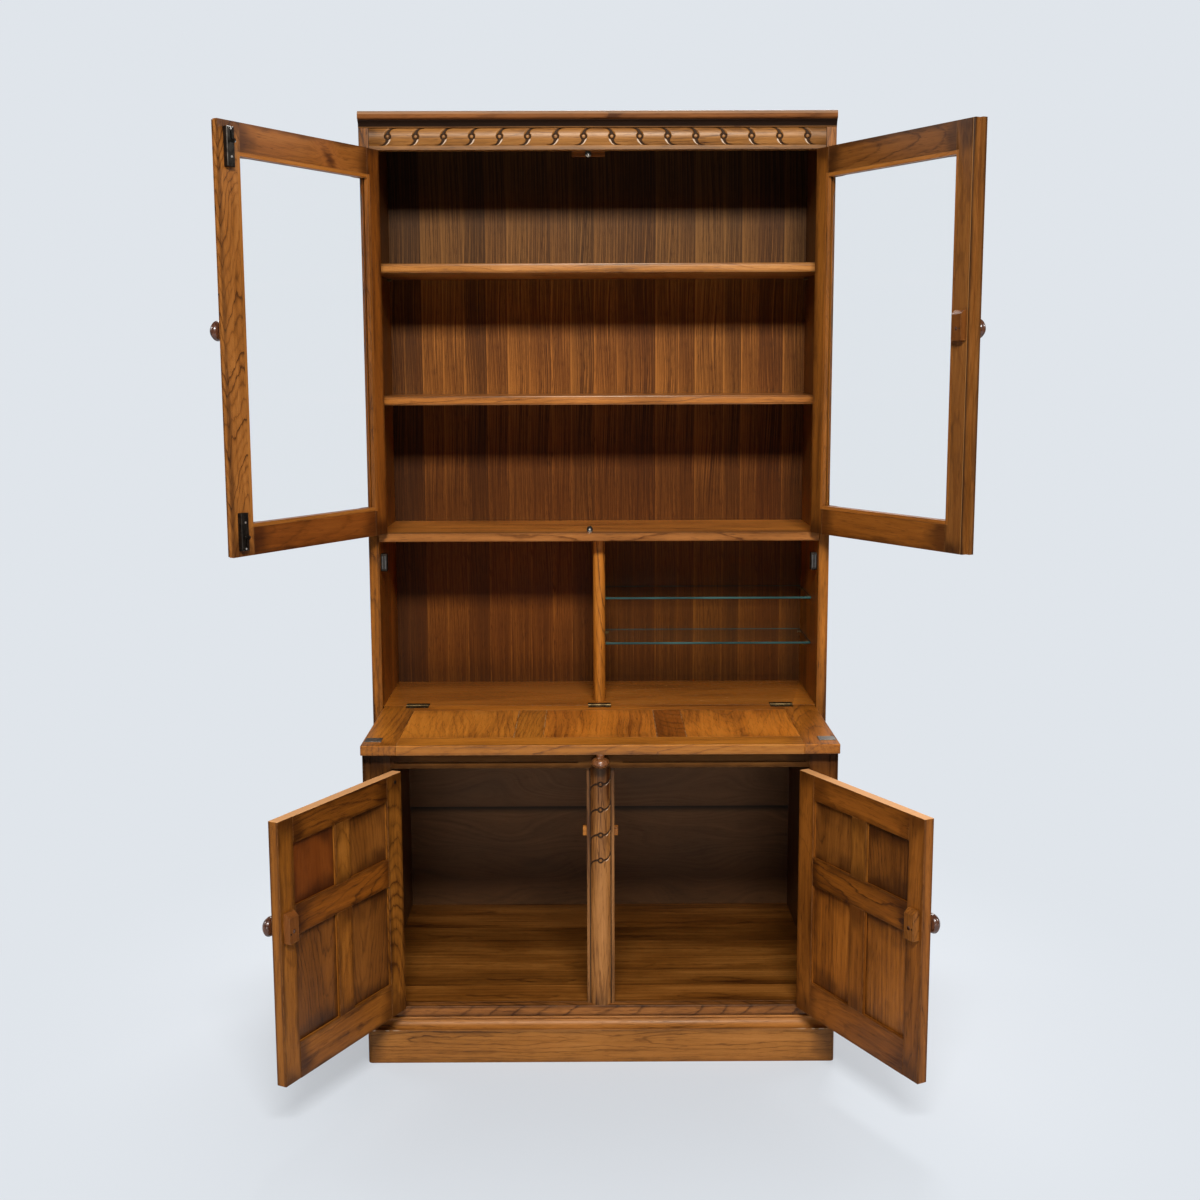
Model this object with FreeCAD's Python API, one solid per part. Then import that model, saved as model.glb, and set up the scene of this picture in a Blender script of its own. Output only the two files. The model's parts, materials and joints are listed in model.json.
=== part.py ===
import FreeCAD, Part
import math
import os

Vec = FreeCAD.Vector

# A tall display cabinet with a writing flap over a two-door cupboard.
# Millimetres, +X to the right, -Y to the front, +Z up, origin on the floor under the middle.

# Overall plan
cabinet_width = 1000.0
upper_depth = 300.0
plinth_projection = 21.0
side_thickness = 22.0
edge_ease = 1.0
largest_fillet_share = 0.45
same_plane = 0.01
quarter_turn = 90.0
half_turn = 2 * quarter_turn
whole_turn = 2 * half_turn

# Heights, stacked from the floor up
plinth_height = 69.0
plinth_cap_height = 22.0
bottom_rail_height = 22.0
cupboard_opening_height = 503.0
top_rail_height = 34.0
flap_thickness = 20.0
flap_rest_gap = 0.3
flap_opening_height = 367.7
middle_board_thickness = 18.0
display_opening_height = 806.0
frieze_height = 45.0
cove_height = 15.0
top_board_thickness = 18.0

# Boards of the carcase
frame_thickness = 22.0
base_side_thickness = 20.0
base_top_thickness = 20.0
cupboard_floor_thickness = 18.0
upper_back_thickness = 8.0
base_back_thickness = 8.0
base_back_rail_thickness = 12.0
base_back_rail_height = 267.0
plinth_board_thickness = 20.0
plinth_corner_radius = 9.0
plinth_bearer_width = 24.0
post_width = 57.0
post_groove_width = 3.0
post_groove_depth = 2.0
post_groove_offsets = (5.0, 17.0)
rail_groove_height = 4.0
rail_groove_depth = 4.0
rail_groove_above_edge = 10.0
rail_groove_end_margin = 8.0
rail_groove_middle_margin = 17.0

# Plinth cap, cove and top board mouldings
cap_lip_height = 2.0
cap_bead_height = 5.0
cap_bead_projection = 3.0
cap_hollow_reach = 0.25
cap_hollow_rise = 0.6
cove_projection = 9.0
cove_lip = 1.5
cove_hollow = 2.5
cove_hollow_angle = 30.0
cornice_projection = 13.0
cornice_upper_radius = 8.0
cornice_lower_radius = 4.0

# Frieze and its carving
frieze_fillet_height = 9.0
frieze_step = 3.0
frieze_bulge = 4.5
scrolls_per_side = 8
scroll_pitch = 58.5
scroll_start = 29.5
carving_depth = 2.6
scroll_ring_radius = 6.2
ring_stroke_width = 4.0
scroll_arm_radius = 12.0
arm_start_width = 4.2
arm_end_width = 1.2

# Mullion between the lower doors
mullion_width = 56.0
mullion_column_width = 41.0
mullion_column_projection = 12.0
mullion_scrolls = 4
mullion_scroll_pitch = 53.0
mullion_scroll_below_top = 31.0
stop_block_height = 19.0
stop_block_depth = 12.0
stop_block_reach = 8.0
stop_block_hold = 18.0
stop_block_below_top = 138.0

# Shelves, divider and their supports
wood_shelf_thickness = 19.0
wood_shelf_setback = 23.0
wood_shelf_rises = (295.0, 575.0)
shelf_end_gap = 0.5
peg_radius = 3.0
peg_length = 18.0
peg_sunk = 9.0
peg_fit = 0.05
peg_inset = 40.0
divider_thickness = 27.0
divider_setback = 56.0
glass_shelf_thickness = 5.0
glass_shelf_setback = 100.0
glass_shelf_rises = (126.7, 229.7)
stud_radius = 2.5
stud_inset = 25.0

# Doors in general
door_thickness = 21.0
door_gap = 1.5
upper_open_angle = 119.3
lower_open_angle = 117.0
meeting_lap = 8.0
meeting_gap = 1.0
lap_clearance = 0.5

# Glazed upper doors
upper_hinge_stile = 42.0
upper_meeting_stile = 54.0
upper_top_rail = 61.0
upper_bottom_rail = 61.0
glass_thickness = 4.0
glass_rebate = 8.0
glass_front_lip = 8.0
glass_edge_gap = 0.5
chamfer_size = 5.0
chamfer_stop = 22.0
chamfer_runout = 16.0
chamfer_trace = 0.05
chamfer_overcut = 0.2

# Panelled lower doors
lower_hinge_stile = 50.0
lower_free_stile = 44.0
lower_muntin = 46.0
lower_top_rail = 50.0
lower_lock_rail = 56.0
lower_bottom_rail = 70.0
lower_upper_panel_height = 118.0
panel_thickness = 9.0
panel_inner_recess = 7.0
panel_tongue = 8.0
panel_groove_fit = 0.2

# Fall flap, which sets how deep the base is
flap_overhang = 29.7
flap_side_gap = 1.0
flap_end_stile = 71.0
flap_muntin = 61.0
flap_hinge_rail = 50.0
flap_front_rail = 67.0
flap_panel_thickness = 12.0
flap_tongue_thickness = 5.0
flap_tongue = 6.0
flap_panel_joint = 0.3
flap_joint_gap = 0.5
flap_knob_clearance = 1.5

# Flap catches and strikers
catch_width = 14.0
catch_depth = 18.0
catch_height = 38.0
catch_below_middle = 48.0
catch_gap = 0.5
striker_width = 34.0
striker_length = 30.0
striker_thickness = 1.5
striker_side_margin = 4.0

# Butt hinges of the doors
hinge_length = 63.0
hinge_leaf_width = 18.0
hinge_leaf_thickness = 2.0
hinge_barrel_radius = 3.5
hinge_barrel_clearance = 0.3
hinge_pin_radius = 1.7
hinge_fit = 0.05
knuckle_gap = 0.3
hinge_end_distance = 110.0
lower_hinge_end_distance = 75.0

# Butt hinges of the flap
flap_hinge_length = 50.0
flap_hinge_barrel_radius = 4.0
flap_hinge_relief = 0.4
flap_hinge_leaf_width = 24.0
flap_hinge_inset = 75.0

# Knobs and turn buttons
knob_radius = 19.0
knob_height = 31.0
knob_base_radius = 9.0
knob_base_height = 3.0
knob_neck_radius = 7.5
knob_neck_height = 9.0
knob_head_height = 19.0
knob_rim = 1.8
knob_under_fullness = 0.42
knob_from_edge = 20.0
turning_gap = 0.5
spindle_radius = 4.0
spindle_fit = 0.05
button_width = 26.0
button_thickness = 14.0
button_long_arm = 34.0
button_short_arm = 22.0
button_bevel = 8.0
upper_knob_rise = 425.0
lower_knob_rise = 296.0

# Surface bolts on the upper left door
bolt_case_width = 20.0
bolt_case_length = 72.0
bolt_rod_radius = 3.0
bolt_fit = 0.05
bolt_axis_height = 5.6
bolt_case_thickness = 10.0
bolt_case_end_gap = 1.2
bolt_from_edge = 24.0
bolt_travel = 16.0
bolt_tip_out = 0.8
bolt_tail_margin = 8.0
bolt_tail_room = 4.0
bolt_slot_width = 5.0
bolt_slot_from_end = 26.0
bolt_grip_radius = 2.2
bolt_grip_head_radius = 4.0
bolt_grip_stem = 5.0
bolt_grip_head = 4.0
keeper_block_width = 70.0
keeper_block_depth = 26.0
keeper_block_drop = 9.0
keeper_radius = 6.6
keeper_flat = 1.0
keeper_length = 11.0
keeper_bore_radius = 3.6
socket_depth = 12.0

# Levels that follow from the heights
cap_top = plinth_height + plinth_cap_height
cupboard_floor_top = cap_top + bottom_rail_height
rail_underside = cupboard_floor_top + cupboard_opening_height
base_top = rail_underside + top_rail_height
base_top_underside = base_top - base_top_thickness
desk_floor_top = base_top + flap_rest_gap + flap_thickness
middle_underside = desk_floor_top + flap_opening_height
middle_top = middle_underside + middle_board_thickness
frieze_underside = middle_top + display_opening_height
frieze_top = frieze_underside + frieze_height
cove_top = frieze_top + cove_height
cabinet_height = cove_top + top_board_thickness
wood_shelf_heights = [middle_top + rise for rise in wood_shelf_rises]
glass_shelf_heights = [desk_floor_top + rise for rise in glass_shelf_rises]
upper_knob_height = middle_top + upper_knob_rise
lower_knob_height = cupboard_floor_top + lower_knob_rise

# Planes that follow from the plan
flap_length = flap_opening_height - flap_side_gap
base_depth = upper_depth - flap_thickness + flap_length - flap_overhang
half_width = cabinet_width / 2
inner_half = half_width - side_thickness
back_plane = (base_depth + plinth_projection) / 2
upper_front = back_plane - upper_depth
base_front = back_plane - base_depth
plinth_front = base_front - plinth_projection
base_frame_back = base_front + frame_thickness
base_back_front = back_plane - base_back_thickness
upper_back_front = base_back_front - upper_back_thickness
base_inner_half = inner_half - base_side_thickness
post_inner = inner_half - post_width
mullion_half = mullion_width / 2
flap_hinge_y = upper_front + flap_thickness
upper_door_back = upper_front + door_thickness
lower_door_back = base_front + door_thickness


def box(x0, x1, y0, y1, z0, z1):
    """A plain block between the given planes."""
    size = (abs(x1 - x0), abs(y1 - y0), abs(z1 - z0))
    return Part.makeBox(*size, Vec(min(x0, x1), min(y0, y1), min(z0, z1)))


def board(x0, x1, y0, y1, z0, z1):
    """A block with its sharp edges eased by a small chamfer."""
    block = box(x0, x1, y0, y1, z0, z1)
    ease = min(edge_ease, block.BoundBox.XLength / 4, block.BoundBox.YLength / 4, block.BoundBox.ZLength / 4)
    return block.makeChamfer(ease, block.Edges)


def rod(radius, start, end):
    """A round bar between two points."""
    run = end - start
    return Part.makeCylinder(radius, run.Length, start, run)


def joined(*solids):
    """One solid out of touching or crossing solids."""
    return solids[0].multiFuse(list(solids[1:])).removeSplitter()


def section_along_x(points, x0, x1):
    """Extrude a closed (y, z) outline along X. A triple of points makes an arc through the middle one."""
    edges = []
    for run in points:
        run = [Vec(x0, y, z) for y, z in run]
        if len(run) == 3:
            edges.append(Part.Arc(*run).toShape())
        else:
            edges.append(Part.LineSegment(*run).toShape())
    return Part.Face(Part.Wire(edges)).extrude(Vec(x1 - x0, 0, 0))


def closed_by_lines(points):
    """The runs of a straight-sided outline."""
    return [(points[i], points[(i + 1) % len(points)]) for i in range(len(points))]


def keep(name, *solids):
    """Write one node of one or more solids."""
    shape = solids[0] if len(solids) == 1 else Part.makeCompound(list(solids))
    shape.exportStep("parts/" + name + ".step")


def stroke_arc(spot, along_x, start, end, y0, y1):
    """A tapering curved chisel stroke extruded along Y. Angles start from the moulding's length."""
    def point(angle, offset):
        turn = math.radians(angle)
        along = (scroll_arm_radius + offset) * math.cos(turn)
        across = (scroll_arm_radius + offset) * math.sin(turn)
        dx, dz = (along, across) if along_x else (across, along)
        return Vec(spot.x + dx, y0, spot.z + dz)

    middle = (start + end) / 2
    wide, narrow = arm_start_width / 2, arm_end_width / 2
    between = (wide + narrow) / 2
    outer = [point(start, wide), point(middle, between), point(end, narrow)]
    inner = [point(end, -narrow), point(middle, -between), point(start, -wide)]
    edges = [
        Part.Arc(*outer).toShape(),
        Part.LineSegment(outer[2], inner[0]).toShape(),
        Part.Arc(*inner).toShape(),
        Part.LineSegment(inner[2], outer[0]).toShape(),
    ]
    return Part.Face(Part.Wire(edges)).extrude(Vec(0, y1 - y0, 0))


def scroll_cutters(x, z, lean, along_x, y0, y1):
    """A ring with an arm on each side that leaves it across the moulding and curls along it."""
    outer = rod(scroll_ring_radius + ring_stroke_width / 2, Vec(x, y0, z), Vec(x, y1, z))
    core = rod(scroll_ring_radius - ring_stroke_width / 2, Vec(x, y0, z), Vec(x, y1, z))
    strokes = [outer.cut(core)]
    for end in (-1, 1):
        along = end * lean * scroll_arm_radius
        across = end * scroll_ring_radius
        center = Vec(x + along, 0, z + across) if along_x else Vec(x + across, 0, z + along)
        start = half_turn if end * lean > 0 else 0.0
        finish = end * quarter_turn if start == 0 else half_turn - end * quarter_turn
        arm = stroke_arc(center, along_x, start, finish, y0, y1)
        strokes.append(arm.cut(outer))
    return strokes


# Tall sides and what spans them

def peg_rows():
    """Height and Y of each peg, under the wooden shelves."""
    front = upper_front + wood_shelf_setback + peg_inset
    back = upper_back_front - peg_inset
    drop = wood_shelf_thickness + peg_radius
    return [(top - drop, y) for top in wood_shelf_heights for y in (front, back)]


def stud_rows():
    """Height and Y of each stud, under the glass shelves."""
    front = upper_front + glass_shelf_setback + stud_inset
    back = upper_back_front - stud_inset
    drop = glass_shelf_thickness + stud_radius
    return [(top - drop, y) for top in glass_shelf_heights for y in (front, back)]


def sunk_pin(wall_x, inward, radius, z, y):
    """A pin half sunk in a wall that faces the inward direction along X."""
    outer_end = Vec(wall_x - inward * peg_sunk, y, z)
    inner_end = Vec(wall_x + inward * (peg_length - peg_sunk), y, z)
    return rod(radius, outer_end, inner_end)


def pin_hole(wall_x, inward, radius, z, y):
    """The hole for a sunk pin."""
    return rod(radius + peg_fit, Vec(wall_x - inward * peg_sunk, y, z), Vec(wall_x, y, z))


def make_tall_side(side):
    wall = inner_half * side
    shape = board(wall, half_width * side, upper_front, back_plane, 0, cove_top)
    holes = [pin_hole(wall, -side, peg_radius, z, y) for z, y in peg_rows()]
    if side > 0:
        holes += [pin_hole(wall, -side, stud_radius, z, y) for z, y in stud_rows()]
    return shape.cut(holes + [hinge.frame_recess for hinge in upper_hinges[side]])


def make_top_board():
    front = upper_front - cornice_projection
    block = box(-half_width, half_width, front, back_plane, cove_top, cabinet_height)
    for radius, level in ((cornice_upper_radius, cabinet_height), (cornice_lower_radius, cove_top)):
        radius = min(radius, top_board_thickness * largest_fillet_share)
        edges = []
        for edge in block.Edges:
            bounds = edge.BoundBox
            along_front = bounds.YMax < front + same_plane and bounds.XLength > cabinet_width / 2
            if along_front and abs(bounds.ZMin - level) < same_plane:
                edges.append(edge)
        block = block.makeFillet(radius, edges)
    return block


def make_cove():
    face = upper_front
    nose = face - cove_projection
    foot = face - cove_lip
    crest = cove_top - cove_lip
    turn = math.radians(cove_hollow_angle)
    bend_y = (foot + nose) / 2 + cove_hollow * math.cos(turn)
    bend = (bend_y, (frieze_top + crest) / 2 + cove_hollow * math.sin(turn))
    runs = [
        ((face, frieze_top), (foot, frieze_top)),
        ((foot, frieze_top), bend, (nose, crest)),
        ((nose, crest), (nose, cove_top)),
        ((nose, cove_top), (face, cove_top)),
        ((face, cove_top), (face, frieze_top)),
    ]
    return section_along_x(runs, -half_width, half_width)


def frieze_block(inset):
    """The frieze with its cushioned face set back by an inset."""
    face = upper_front + inset
    step = face + frieze_step
    back = upper_front + frame_thickness
    low = frieze_underside + frieze_fillet_height
    crown = (step - frieze_bulge, (low + frieze_top) / 2)
    runs = [
        ((back, frieze_underside), (face, frieze_underside)),
        ((face, frieze_underside), (face, low)),
        ((face, low), (step, low)),
        ((step, low), crown, (step, frieze_top)),
        ((step, frieze_top), (face, frieze_top)),
        ((face, frieze_top), (face, cove_top)),
        ((face, cove_top), (back, cove_top)),
        ((back, cove_top), (back, frieze_underside)),
    ]
    return section_along_x(runs, -inner_half, inner_half)


def make_frieze():
    block = frieze_block(0.0)
    skin = block.cut(frieze_block(carving_depth))
    level = (frieze_underside + frieze_fillet_height + frieze_top) / 2
    y0 = upper_front - frieze_bulge
    y1 = upper_front + frame_thickness / 2
    strokes = []
    for side in (-1, 1):
        for count in range(scrolls_per_side):
            x = side * (scroll_start + count * scroll_pitch)
            strokes += scroll_cutters(x, level, -side, True, y0, y1)
    return block.cut([stroke.common(skin) for stroke in strokes])


def make_middle_board():
    shape = board(-inner_half, inner_half, upper_front, upper_back_front, middle_underside, middle_top)
    bolt = bolt_spot()
    end = Vec(bolt.x, bolt.y, middle_top)
    return shape.cut(rod(keeper_bore_radius, end - Vec(0, 0, socket_depth), end))


def make_wood_shelf(top):
    half = inner_half - shelf_end_gap
    front = upper_front + wood_shelf_setback
    return board(-half, half, front, upper_back_front - shelf_end_gap, top - wood_shelf_thickness, top)


def make_divider():
    half = divider_thickness / 2
    front = upper_front + divider_setback
    body = box(-half, half, front + half, upper_back_front, desk_floor_top, middle_underside)
    nose = rod(half, Vec(0, front + half, desk_floor_top), Vec(0, front + half, middle_underside))
    holes = [pin_hole(half, 1, stud_radius, z, y) for z, y in stud_rows()]
    return joined(body, nose).cut(holes)


def make_glass_shelf(top):
    x0 = divider_thickness / 2 + shelf_end_gap
    x1 = inner_half - shelf_end_gap
    front = upper_front + glass_shelf_setback
    return board(x0, x1, front, upper_back_front - shelf_end_gap, top - glass_shelf_thickness, top)


def make_keeper_block():
    """The block behind the frieze, stepped back below it to carry the upper bolt keeper."""
    bolt = bolt_spot()
    x0, x1 = bolt.x - keeper_block_width / 2, bolt.x + keeper_block_width / 2
    front = upper_front + frame_thickness
    seat = front + keeper_length
    back = front + keeper_block_depth
    low = frieze_underside - keeper_block_drop
    outline = [
        (front, cove_top), (back, cove_top), (back, low), (seat, low), (seat, frieze_underside),
        (front, frieze_underside),
    ]
    block = section_along_x(closed_by_lines(outline), x0, x1)
    end = Vec(bolt.x, bolt.y, frieze_underside)
    return block.cut(rod(keeper_bore_radius, end, end + Vec(0, 0, socket_depth)))


def make_bolt_keepers():
    """Two round studs that face the front, each with an upright hole for its bolt."""
    bolt = bolt_spot()
    front = upper_front + frame_thickness
    keepers = []
    for seat, way in ((middle_top, 1), (frieze_underside, -1)):
        z = seat + way * (keeper_radius - keeper_flat)
        back = front + keeper_length
        stud = rod(keeper_radius, Vec(bolt.x, front, z), Vec(bolt.x, back, z))
        reach = seat + way * 2 * keeper_radius
        room = box(bolt.x - keeper_radius, bolt.x + keeper_radius, front, back, seat, reach)
        bore = rod(keeper_bore_radius, Vec(bolt.x, bolt.y, seat), Vec(bolt.x, bolt.y, reach))
        keepers.append(stud.common(room).cut(bore))
    return keepers


def make_catch(side):
    wall = inner_half * side
    front = flap_hinge_y + striker_thickness + catch_gap
    level = middle_underside - catch_below_middle
    low, high = level - catch_height / 2, level + catch_height / 2
    return board(wall, wall - side * catch_width, front, front + catch_depth, low, high)


# Base cupboard

def make_base_side(side):
    outer = inner_half * side
    inner = base_inner_half * side
    return box(inner, outer, base_frame_back, base_back_front, plinth_height, base_top_underside)


def make_post(side):
    outer = inner_half * side
    shape = board(outer, post_inner * side, base_front, base_frame_back, cap_top, base_top)
    grooves = []
    for offset in post_groove_offsets:
        x = outer - side * offset
        half = post_groove_width / 2
        grooves.append(box(x - half, x + half, base_front, base_front + post_groove_depth, cap_top, base_top))
    return shape.cut(grooves + [hinge.frame_recess for hinge in lower_hinges[side]])


def make_top_rail():
    shape = box(-post_inner, post_inner, base_front, base_frame_back, rail_underside, base_top)
    low = rail_underside + rail_groove_above_edge
    start = mullion_half + rail_groove_middle_margin
    end = post_inner - rail_groove_end_margin
    depth = base_front + rail_groove_depth
    grooves = []
    for side in (-1, 1):
        grooves.append(box(side * start, side * end, base_front, depth, low, low + rail_groove_height))
    return shape.cut(grooves)


def mullion_column(inset):
    """The rounded column on the mullion, its crown in the base's front plane, set in by an inset."""
    half = mullion_column_width / 2
    rise = mullion_column_projection
    radius = (half * half + rise * rise) / (2 * rise)
    axis_y = base_front + radius
    bar = rod(radius - inset, Vec(0, axis_y, cupboard_floor_top), Vec(0, axis_y, rail_underside))
    front = box(-half, half, base_front, base_front + rise, cupboard_floor_top, rail_underside)
    return bar.common(front)


def make_mullion():
    back = lower_door_back + lap_clearance / 2
    face = base_front + mullion_column_projection
    flat = box(-mullion_half, mullion_half, face, back, cupboard_floor_top, rail_underside)
    column = mullion_column(0.0)
    skin = column.cut(mullion_column(carving_depth))
    strokes = []
    for count in range(mullion_scrolls):
        z = rail_underside - mullion_scroll_below_top - count * mullion_scroll_pitch
        strokes += scroll_cutters(0, z, 1, False, base_front - carving_depth, face)
    column = column.cut([stroke.common(skin) for stroke in strokes])
    return joined(flat, column)


def make_stop_block(side):
    inner = side * (mullion_half - stop_block_hold)
    outer = side * (mullion_half + stop_block_reach)
    front = lower_door_back + lap_clearance / 2
    high = rail_underside - stop_block_below_top + stop_block_height / 2
    return board(inner, outer, front, front + stop_block_depth, high - stop_block_height, high)


def make_plinth_front():
    back = plinth_front + plinth_board_thickness
    block = box(-inner_half, inner_half, plinth_front, back, 0, plinth_height)
    corners = []
    for edge in block.Edges:
        bounds = edge.BoundBox
        if bounds.ZLength > plinth_height / 2 and bounds.YMax < plinth_front + same_plane:
            corners.append(edge)
    radius = min(plinth_corner_radius, plinth_board_thickness * largest_fillet_share)
    return block.makeFillet(radius, corners)


def make_plinth_frame():
    """Two side boards, a back board and a bearer under the cupboard floor."""
    front = plinth_front + plinth_board_thickness
    back = base_back_front - plinth_board_thickness
    floor_underside = cupboard_floor_top - cupboard_floor_thickness
    boards = []
    for side in (-1, 1):
        outer = inner_half * side
        inner = outer - side * plinth_board_thickness
        boards.append(box(outer, inner, front, base_back_front, 0, plinth_height))
    inner = inner_half - plinth_board_thickness
    boards.append(box(-inner, inner, back, base_back_front, 0, plinth_height))
    half = plinth_bearer_width / 2
    boards.append(box(-half, half, base_frame_back, back, 0, floor_underside))
    return boards


def make_plinth_cap():
    bead_low = cap_top - cap_bead_height
    bead_face = base_front - cap_bead_projection
    lip = plinth_height + cap_lip_height
    bend_y = bead_face - (bead_face - plinth_front) * cap_hollow_reach
    bend = (bend_y, lip + cap_bead_height * cap_hollow_rise)
    runs = [
        ((base_frame_back, plinth_height), (plinth_front, plinth_height)),
        ((plinth_front, plinth_height), (plinth_front, lip)),
        ((plinth_front, lip), bend, (base_front, bead_low)),
        ((base_front, bead_low), (bead_face, (bead_low + cap_top) / 2), (base_front, cap_top)),
        ((base_front, cap_top), (base_frame_back, cap_top)),
        ((base_frame_back, cap_top), (base_frame_back, plinth_height)),
    ]
    return section_along_x(runs, -inner_half, inner_half)


# Hinges

class ButtHinge:
    """A three-knuckle hinge between an upright frame face and a closed door."""

    def __init__(self, side, wall, front, level):
        inward = -side
        door_edge = wall + inward * door_gap
        low = level - hinge_length / 2
        third = hinge_length / 3
        self.pin_x = wall + inward * door_gap / 2
        self.pin_y = front - hinge_barrel_radius - hinge_barrel_clearance
        frame_back = wall - inward * hinge_leaf_thickness
        door_back = door_edge + inward * hinge_leaf_thickness
        leaf_end = front + hinge_leaf_width
        self.frame_recess = box(frame_back, wall, front, leaf_end, low, low + hinge_length)
        self.door_recess = box(door_edge, door_back, front, leaf_end, low, low + hinge_length)
        frame_parts, door_parts = [self.frame_recess], [self.door_recess]
        for count in range(3):
            start = low + count * third + (knuckle_gap / 2 if count else 0)
            end = low + (count + 1) * third - (knuckle_gap / 2 if count < 2 else 0)
            knuckle = rod(hinge_barrel_radius, self.on_pin(start), self.on_pin(end))
            if count == 1:
                door_parts += [knuckle, box(door_edge, door_back, self.pin_y, front, start, end)]
            else:
                frame_parts += [knuckle, box(frame_back, wall, self.pin_y, front, start, end)]
        bottom, top = self.on_pin(low), self.on_pin(low + hinge_length)
        bore = rod(hinge_pin_radius + hinge_fit, bottom, top)
        self.pin = rod(hinge_pin_radius, bottom, top)
        self.frame_leaf = joined(*frame_parts).cut(bore)
        self.door_leaf = joined(*door_parts).cut(bore)

    def on_pin(self, z):
        return Vec(self.pin_x, self.pin_y, z)


class FlapHinge:
    """A three-knuckle hinge between the desk floor and the lowered flap."""

    def __init__(self, x):
        low = x - flap_hinge_length / 2
        third = flap_hinge_length / 3
        relief = flap_hinge_barrel_radius + flap_hinge_relief
        under = desk_floor_top - hinge_leaf_thickness
        y = flap_hinge_y
        high = low + flap_hinge_length
        floor_parts = [box(low, high, y + relief, y + flap_hinge_leaf_width, under, desk_floor_top)]
        flap_parts = [box(low, high, y - flap_hinge_leaf_width, y - relief, under, desk_floor_top)]
        axis_start, axis_end = Vec(low, y, desk_floor_top), Vec(high, y, desk_floor_top)
        margin = Vec(flap_hinge_relief, 0, 0)
        self.relief = rod(relief, axis_start - margin, axis_end + margin)
        self.floor_recess = box(low, high, y, y + flap_hinge_leaf_width, under, desk_floor_top)
        self.flap_recess = box(low, high, y - flap_hinge_leaf_width, y, under, desk_floor_top)
        for count in range(3):
            start = low + count * third + (knuckle_gap / 2 if count else 0)
            end = low + (count + 1) * third - (knuckle_gap / 2 if count < 2 else 0)
            knuckle_start, knuckle_end = Vec(start, y, desk_floor_top), Vec(end, y, desk_floor_top)
            knuckle = rod(flap_hinge_barrel_radius, knuckle_start, knuckle_end)
            if count == 1:
                flap_parts += [knuckle, box(start, end, y - relief, y, under, desk_floor_top)]
            else:
                floor_parts += [knuckle, box(start, end, y, y + relief, under, desk_floor_top)]
        bore = rod(hinge_pin_radius + hinge_fit, axis_start, axis_end)
        self.pin = rod(hinge_pin_radius, axis_start, axis_end)
        self.floor_leaf = joined(*floor_parts).cut(bore)
        self.flap_leaf = joined(*flap_parts).cut(bore)


def hinge_pair(side, wall, front, low, high, end_distance):
    return [ButtHinge(side, wall * side, front, level) for level in (low + end_distance, high - end_distance)]


upper_hinges = {}
lower_hinges = {}
for side in (-1, 1):
    upper_hinges[side] = hinge_pair(
        side, inner_half, upper_front, middle_top, frieze_underside, hinge_end_distance
    )
    lower_hinges[side] = hinge_pair(
        side, post_inner, base_front, cupboard_floor_top, rail_underside, lower_hinge_end_distance
    )
outer_hinge = inner_half - flap_hinge_inset
flap_hinges = [FlapHinge(x) for x in (-outer_hinge, 0, outer_hinge)]


# Knobs, turn buttons and bolts, made against the closed doors

def turned_knob(spot, outward):
    """A mushroom knob on a face at a spot, standing along the outward direction."""
    rim_radius = knob_radius - knob_rim / 2
    rim_low, rim_high = knob_head_height - knob_rim, knob_head_height + knob_rim
    cap_rise = knob_height - rim_high
    cap_radius = (rim_radius ** 2 + cap_rise ** 2) / (2 * cap_rise)
    cap_half_turn = math.asin(rim_radius / cap_radius) / 2
    cap_middle_height = knob_height - cap_radius * (1 - math.cos(cap_half_turn))
    waist_height = (knob_base_height + knob_neck_height) / 2
    under_height = knob_neck_height + (rim_low - knob_neck_height) * knob_under_fullness
    under_radius = knob_neck_radius + (rim_radius - knob_neck_radius) * (1 - knob_under_fullness / 2)
    outline = [
        ((0, 0), (knob_base_radius, 0)),
        ((knob_base_radius, 0), (knob_base_radius, knob_base_height)),
        ((knob_base_radius, knob_base_height), (knob_neck_radius, waist_height)),
        ((knob_neck_radius, waist_height), (knob_neck_radius, knob_neck_height)),
        ((knob_neck_radius, knob_neck_height), (under_radius, under_height), (rim_radius, rim_low)),
        ((rim_radius, rim_low), (knob_radius, knob_head_height), (rim_radius, rim_high)),
        ((rim_radius, rim_high), (cap_radius * math.sin(cap_half_turn), cap_middle_height), (0, knob_height)),
        ((0, knob_height), (0, 0)),
    ]
    edges = []
    for run in outline:
        run = [Vec(radius, 0, height) for radius, height in run]
        edges.append(Part.Arc(*run).toShape() if len(run) == 3 else Part.LineSegment(*run).toShape())
    knob = Part.Face(Part.Wire(edges)).revolve(Vec(0, 0, 0), Vec(0, 0, 1), whole_turn)
    knob.Placement = FreeCAD.Placement(spot, FreeCAD.Rotation(Vec(0, 0, 1), outward))
    return knob


def turning_knob(x, front, z):
    """A knob in front of a closed door with its spindle through the door."""
    knob = turned_knob(Vec(x, front - turning_gap, z), Vec(0, -1, 0))
    end = front + door_thickness + turning_gap + button_thickness
    spindle = rod(spindle_radius, Vec(x, front - turning_gap - knob_base_height, z), Vec(x, end, z))
    return joined(knob, spindle)


def turn_button(x, front, z):
    """The wooden button behind a closed door, upright, with a bevelled long end."""
    y0 = front + door_thickness + turning_gap
    y1 = y0 + button_thickness
    half = button_width / 2
    top, low = z + button_long_arm, z - button_short_arm
    outline = [(y0, low), (y0, top), (y1 - button_bevel, top), (y1, top - button_bevel), (y1, low)]
    block = section_along_x(closed_by_lines(outline), x - half, x + half)
    return block.cut(rod(spindle_radius, Vec(x, y0, z), Vec(x, y1, z)))


def spindle_hole(x, front, z):
    return rod(spindle_radius + spindle_fit, Vec(x, front, z), Vec(x, front + door_thickness, z))


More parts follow.
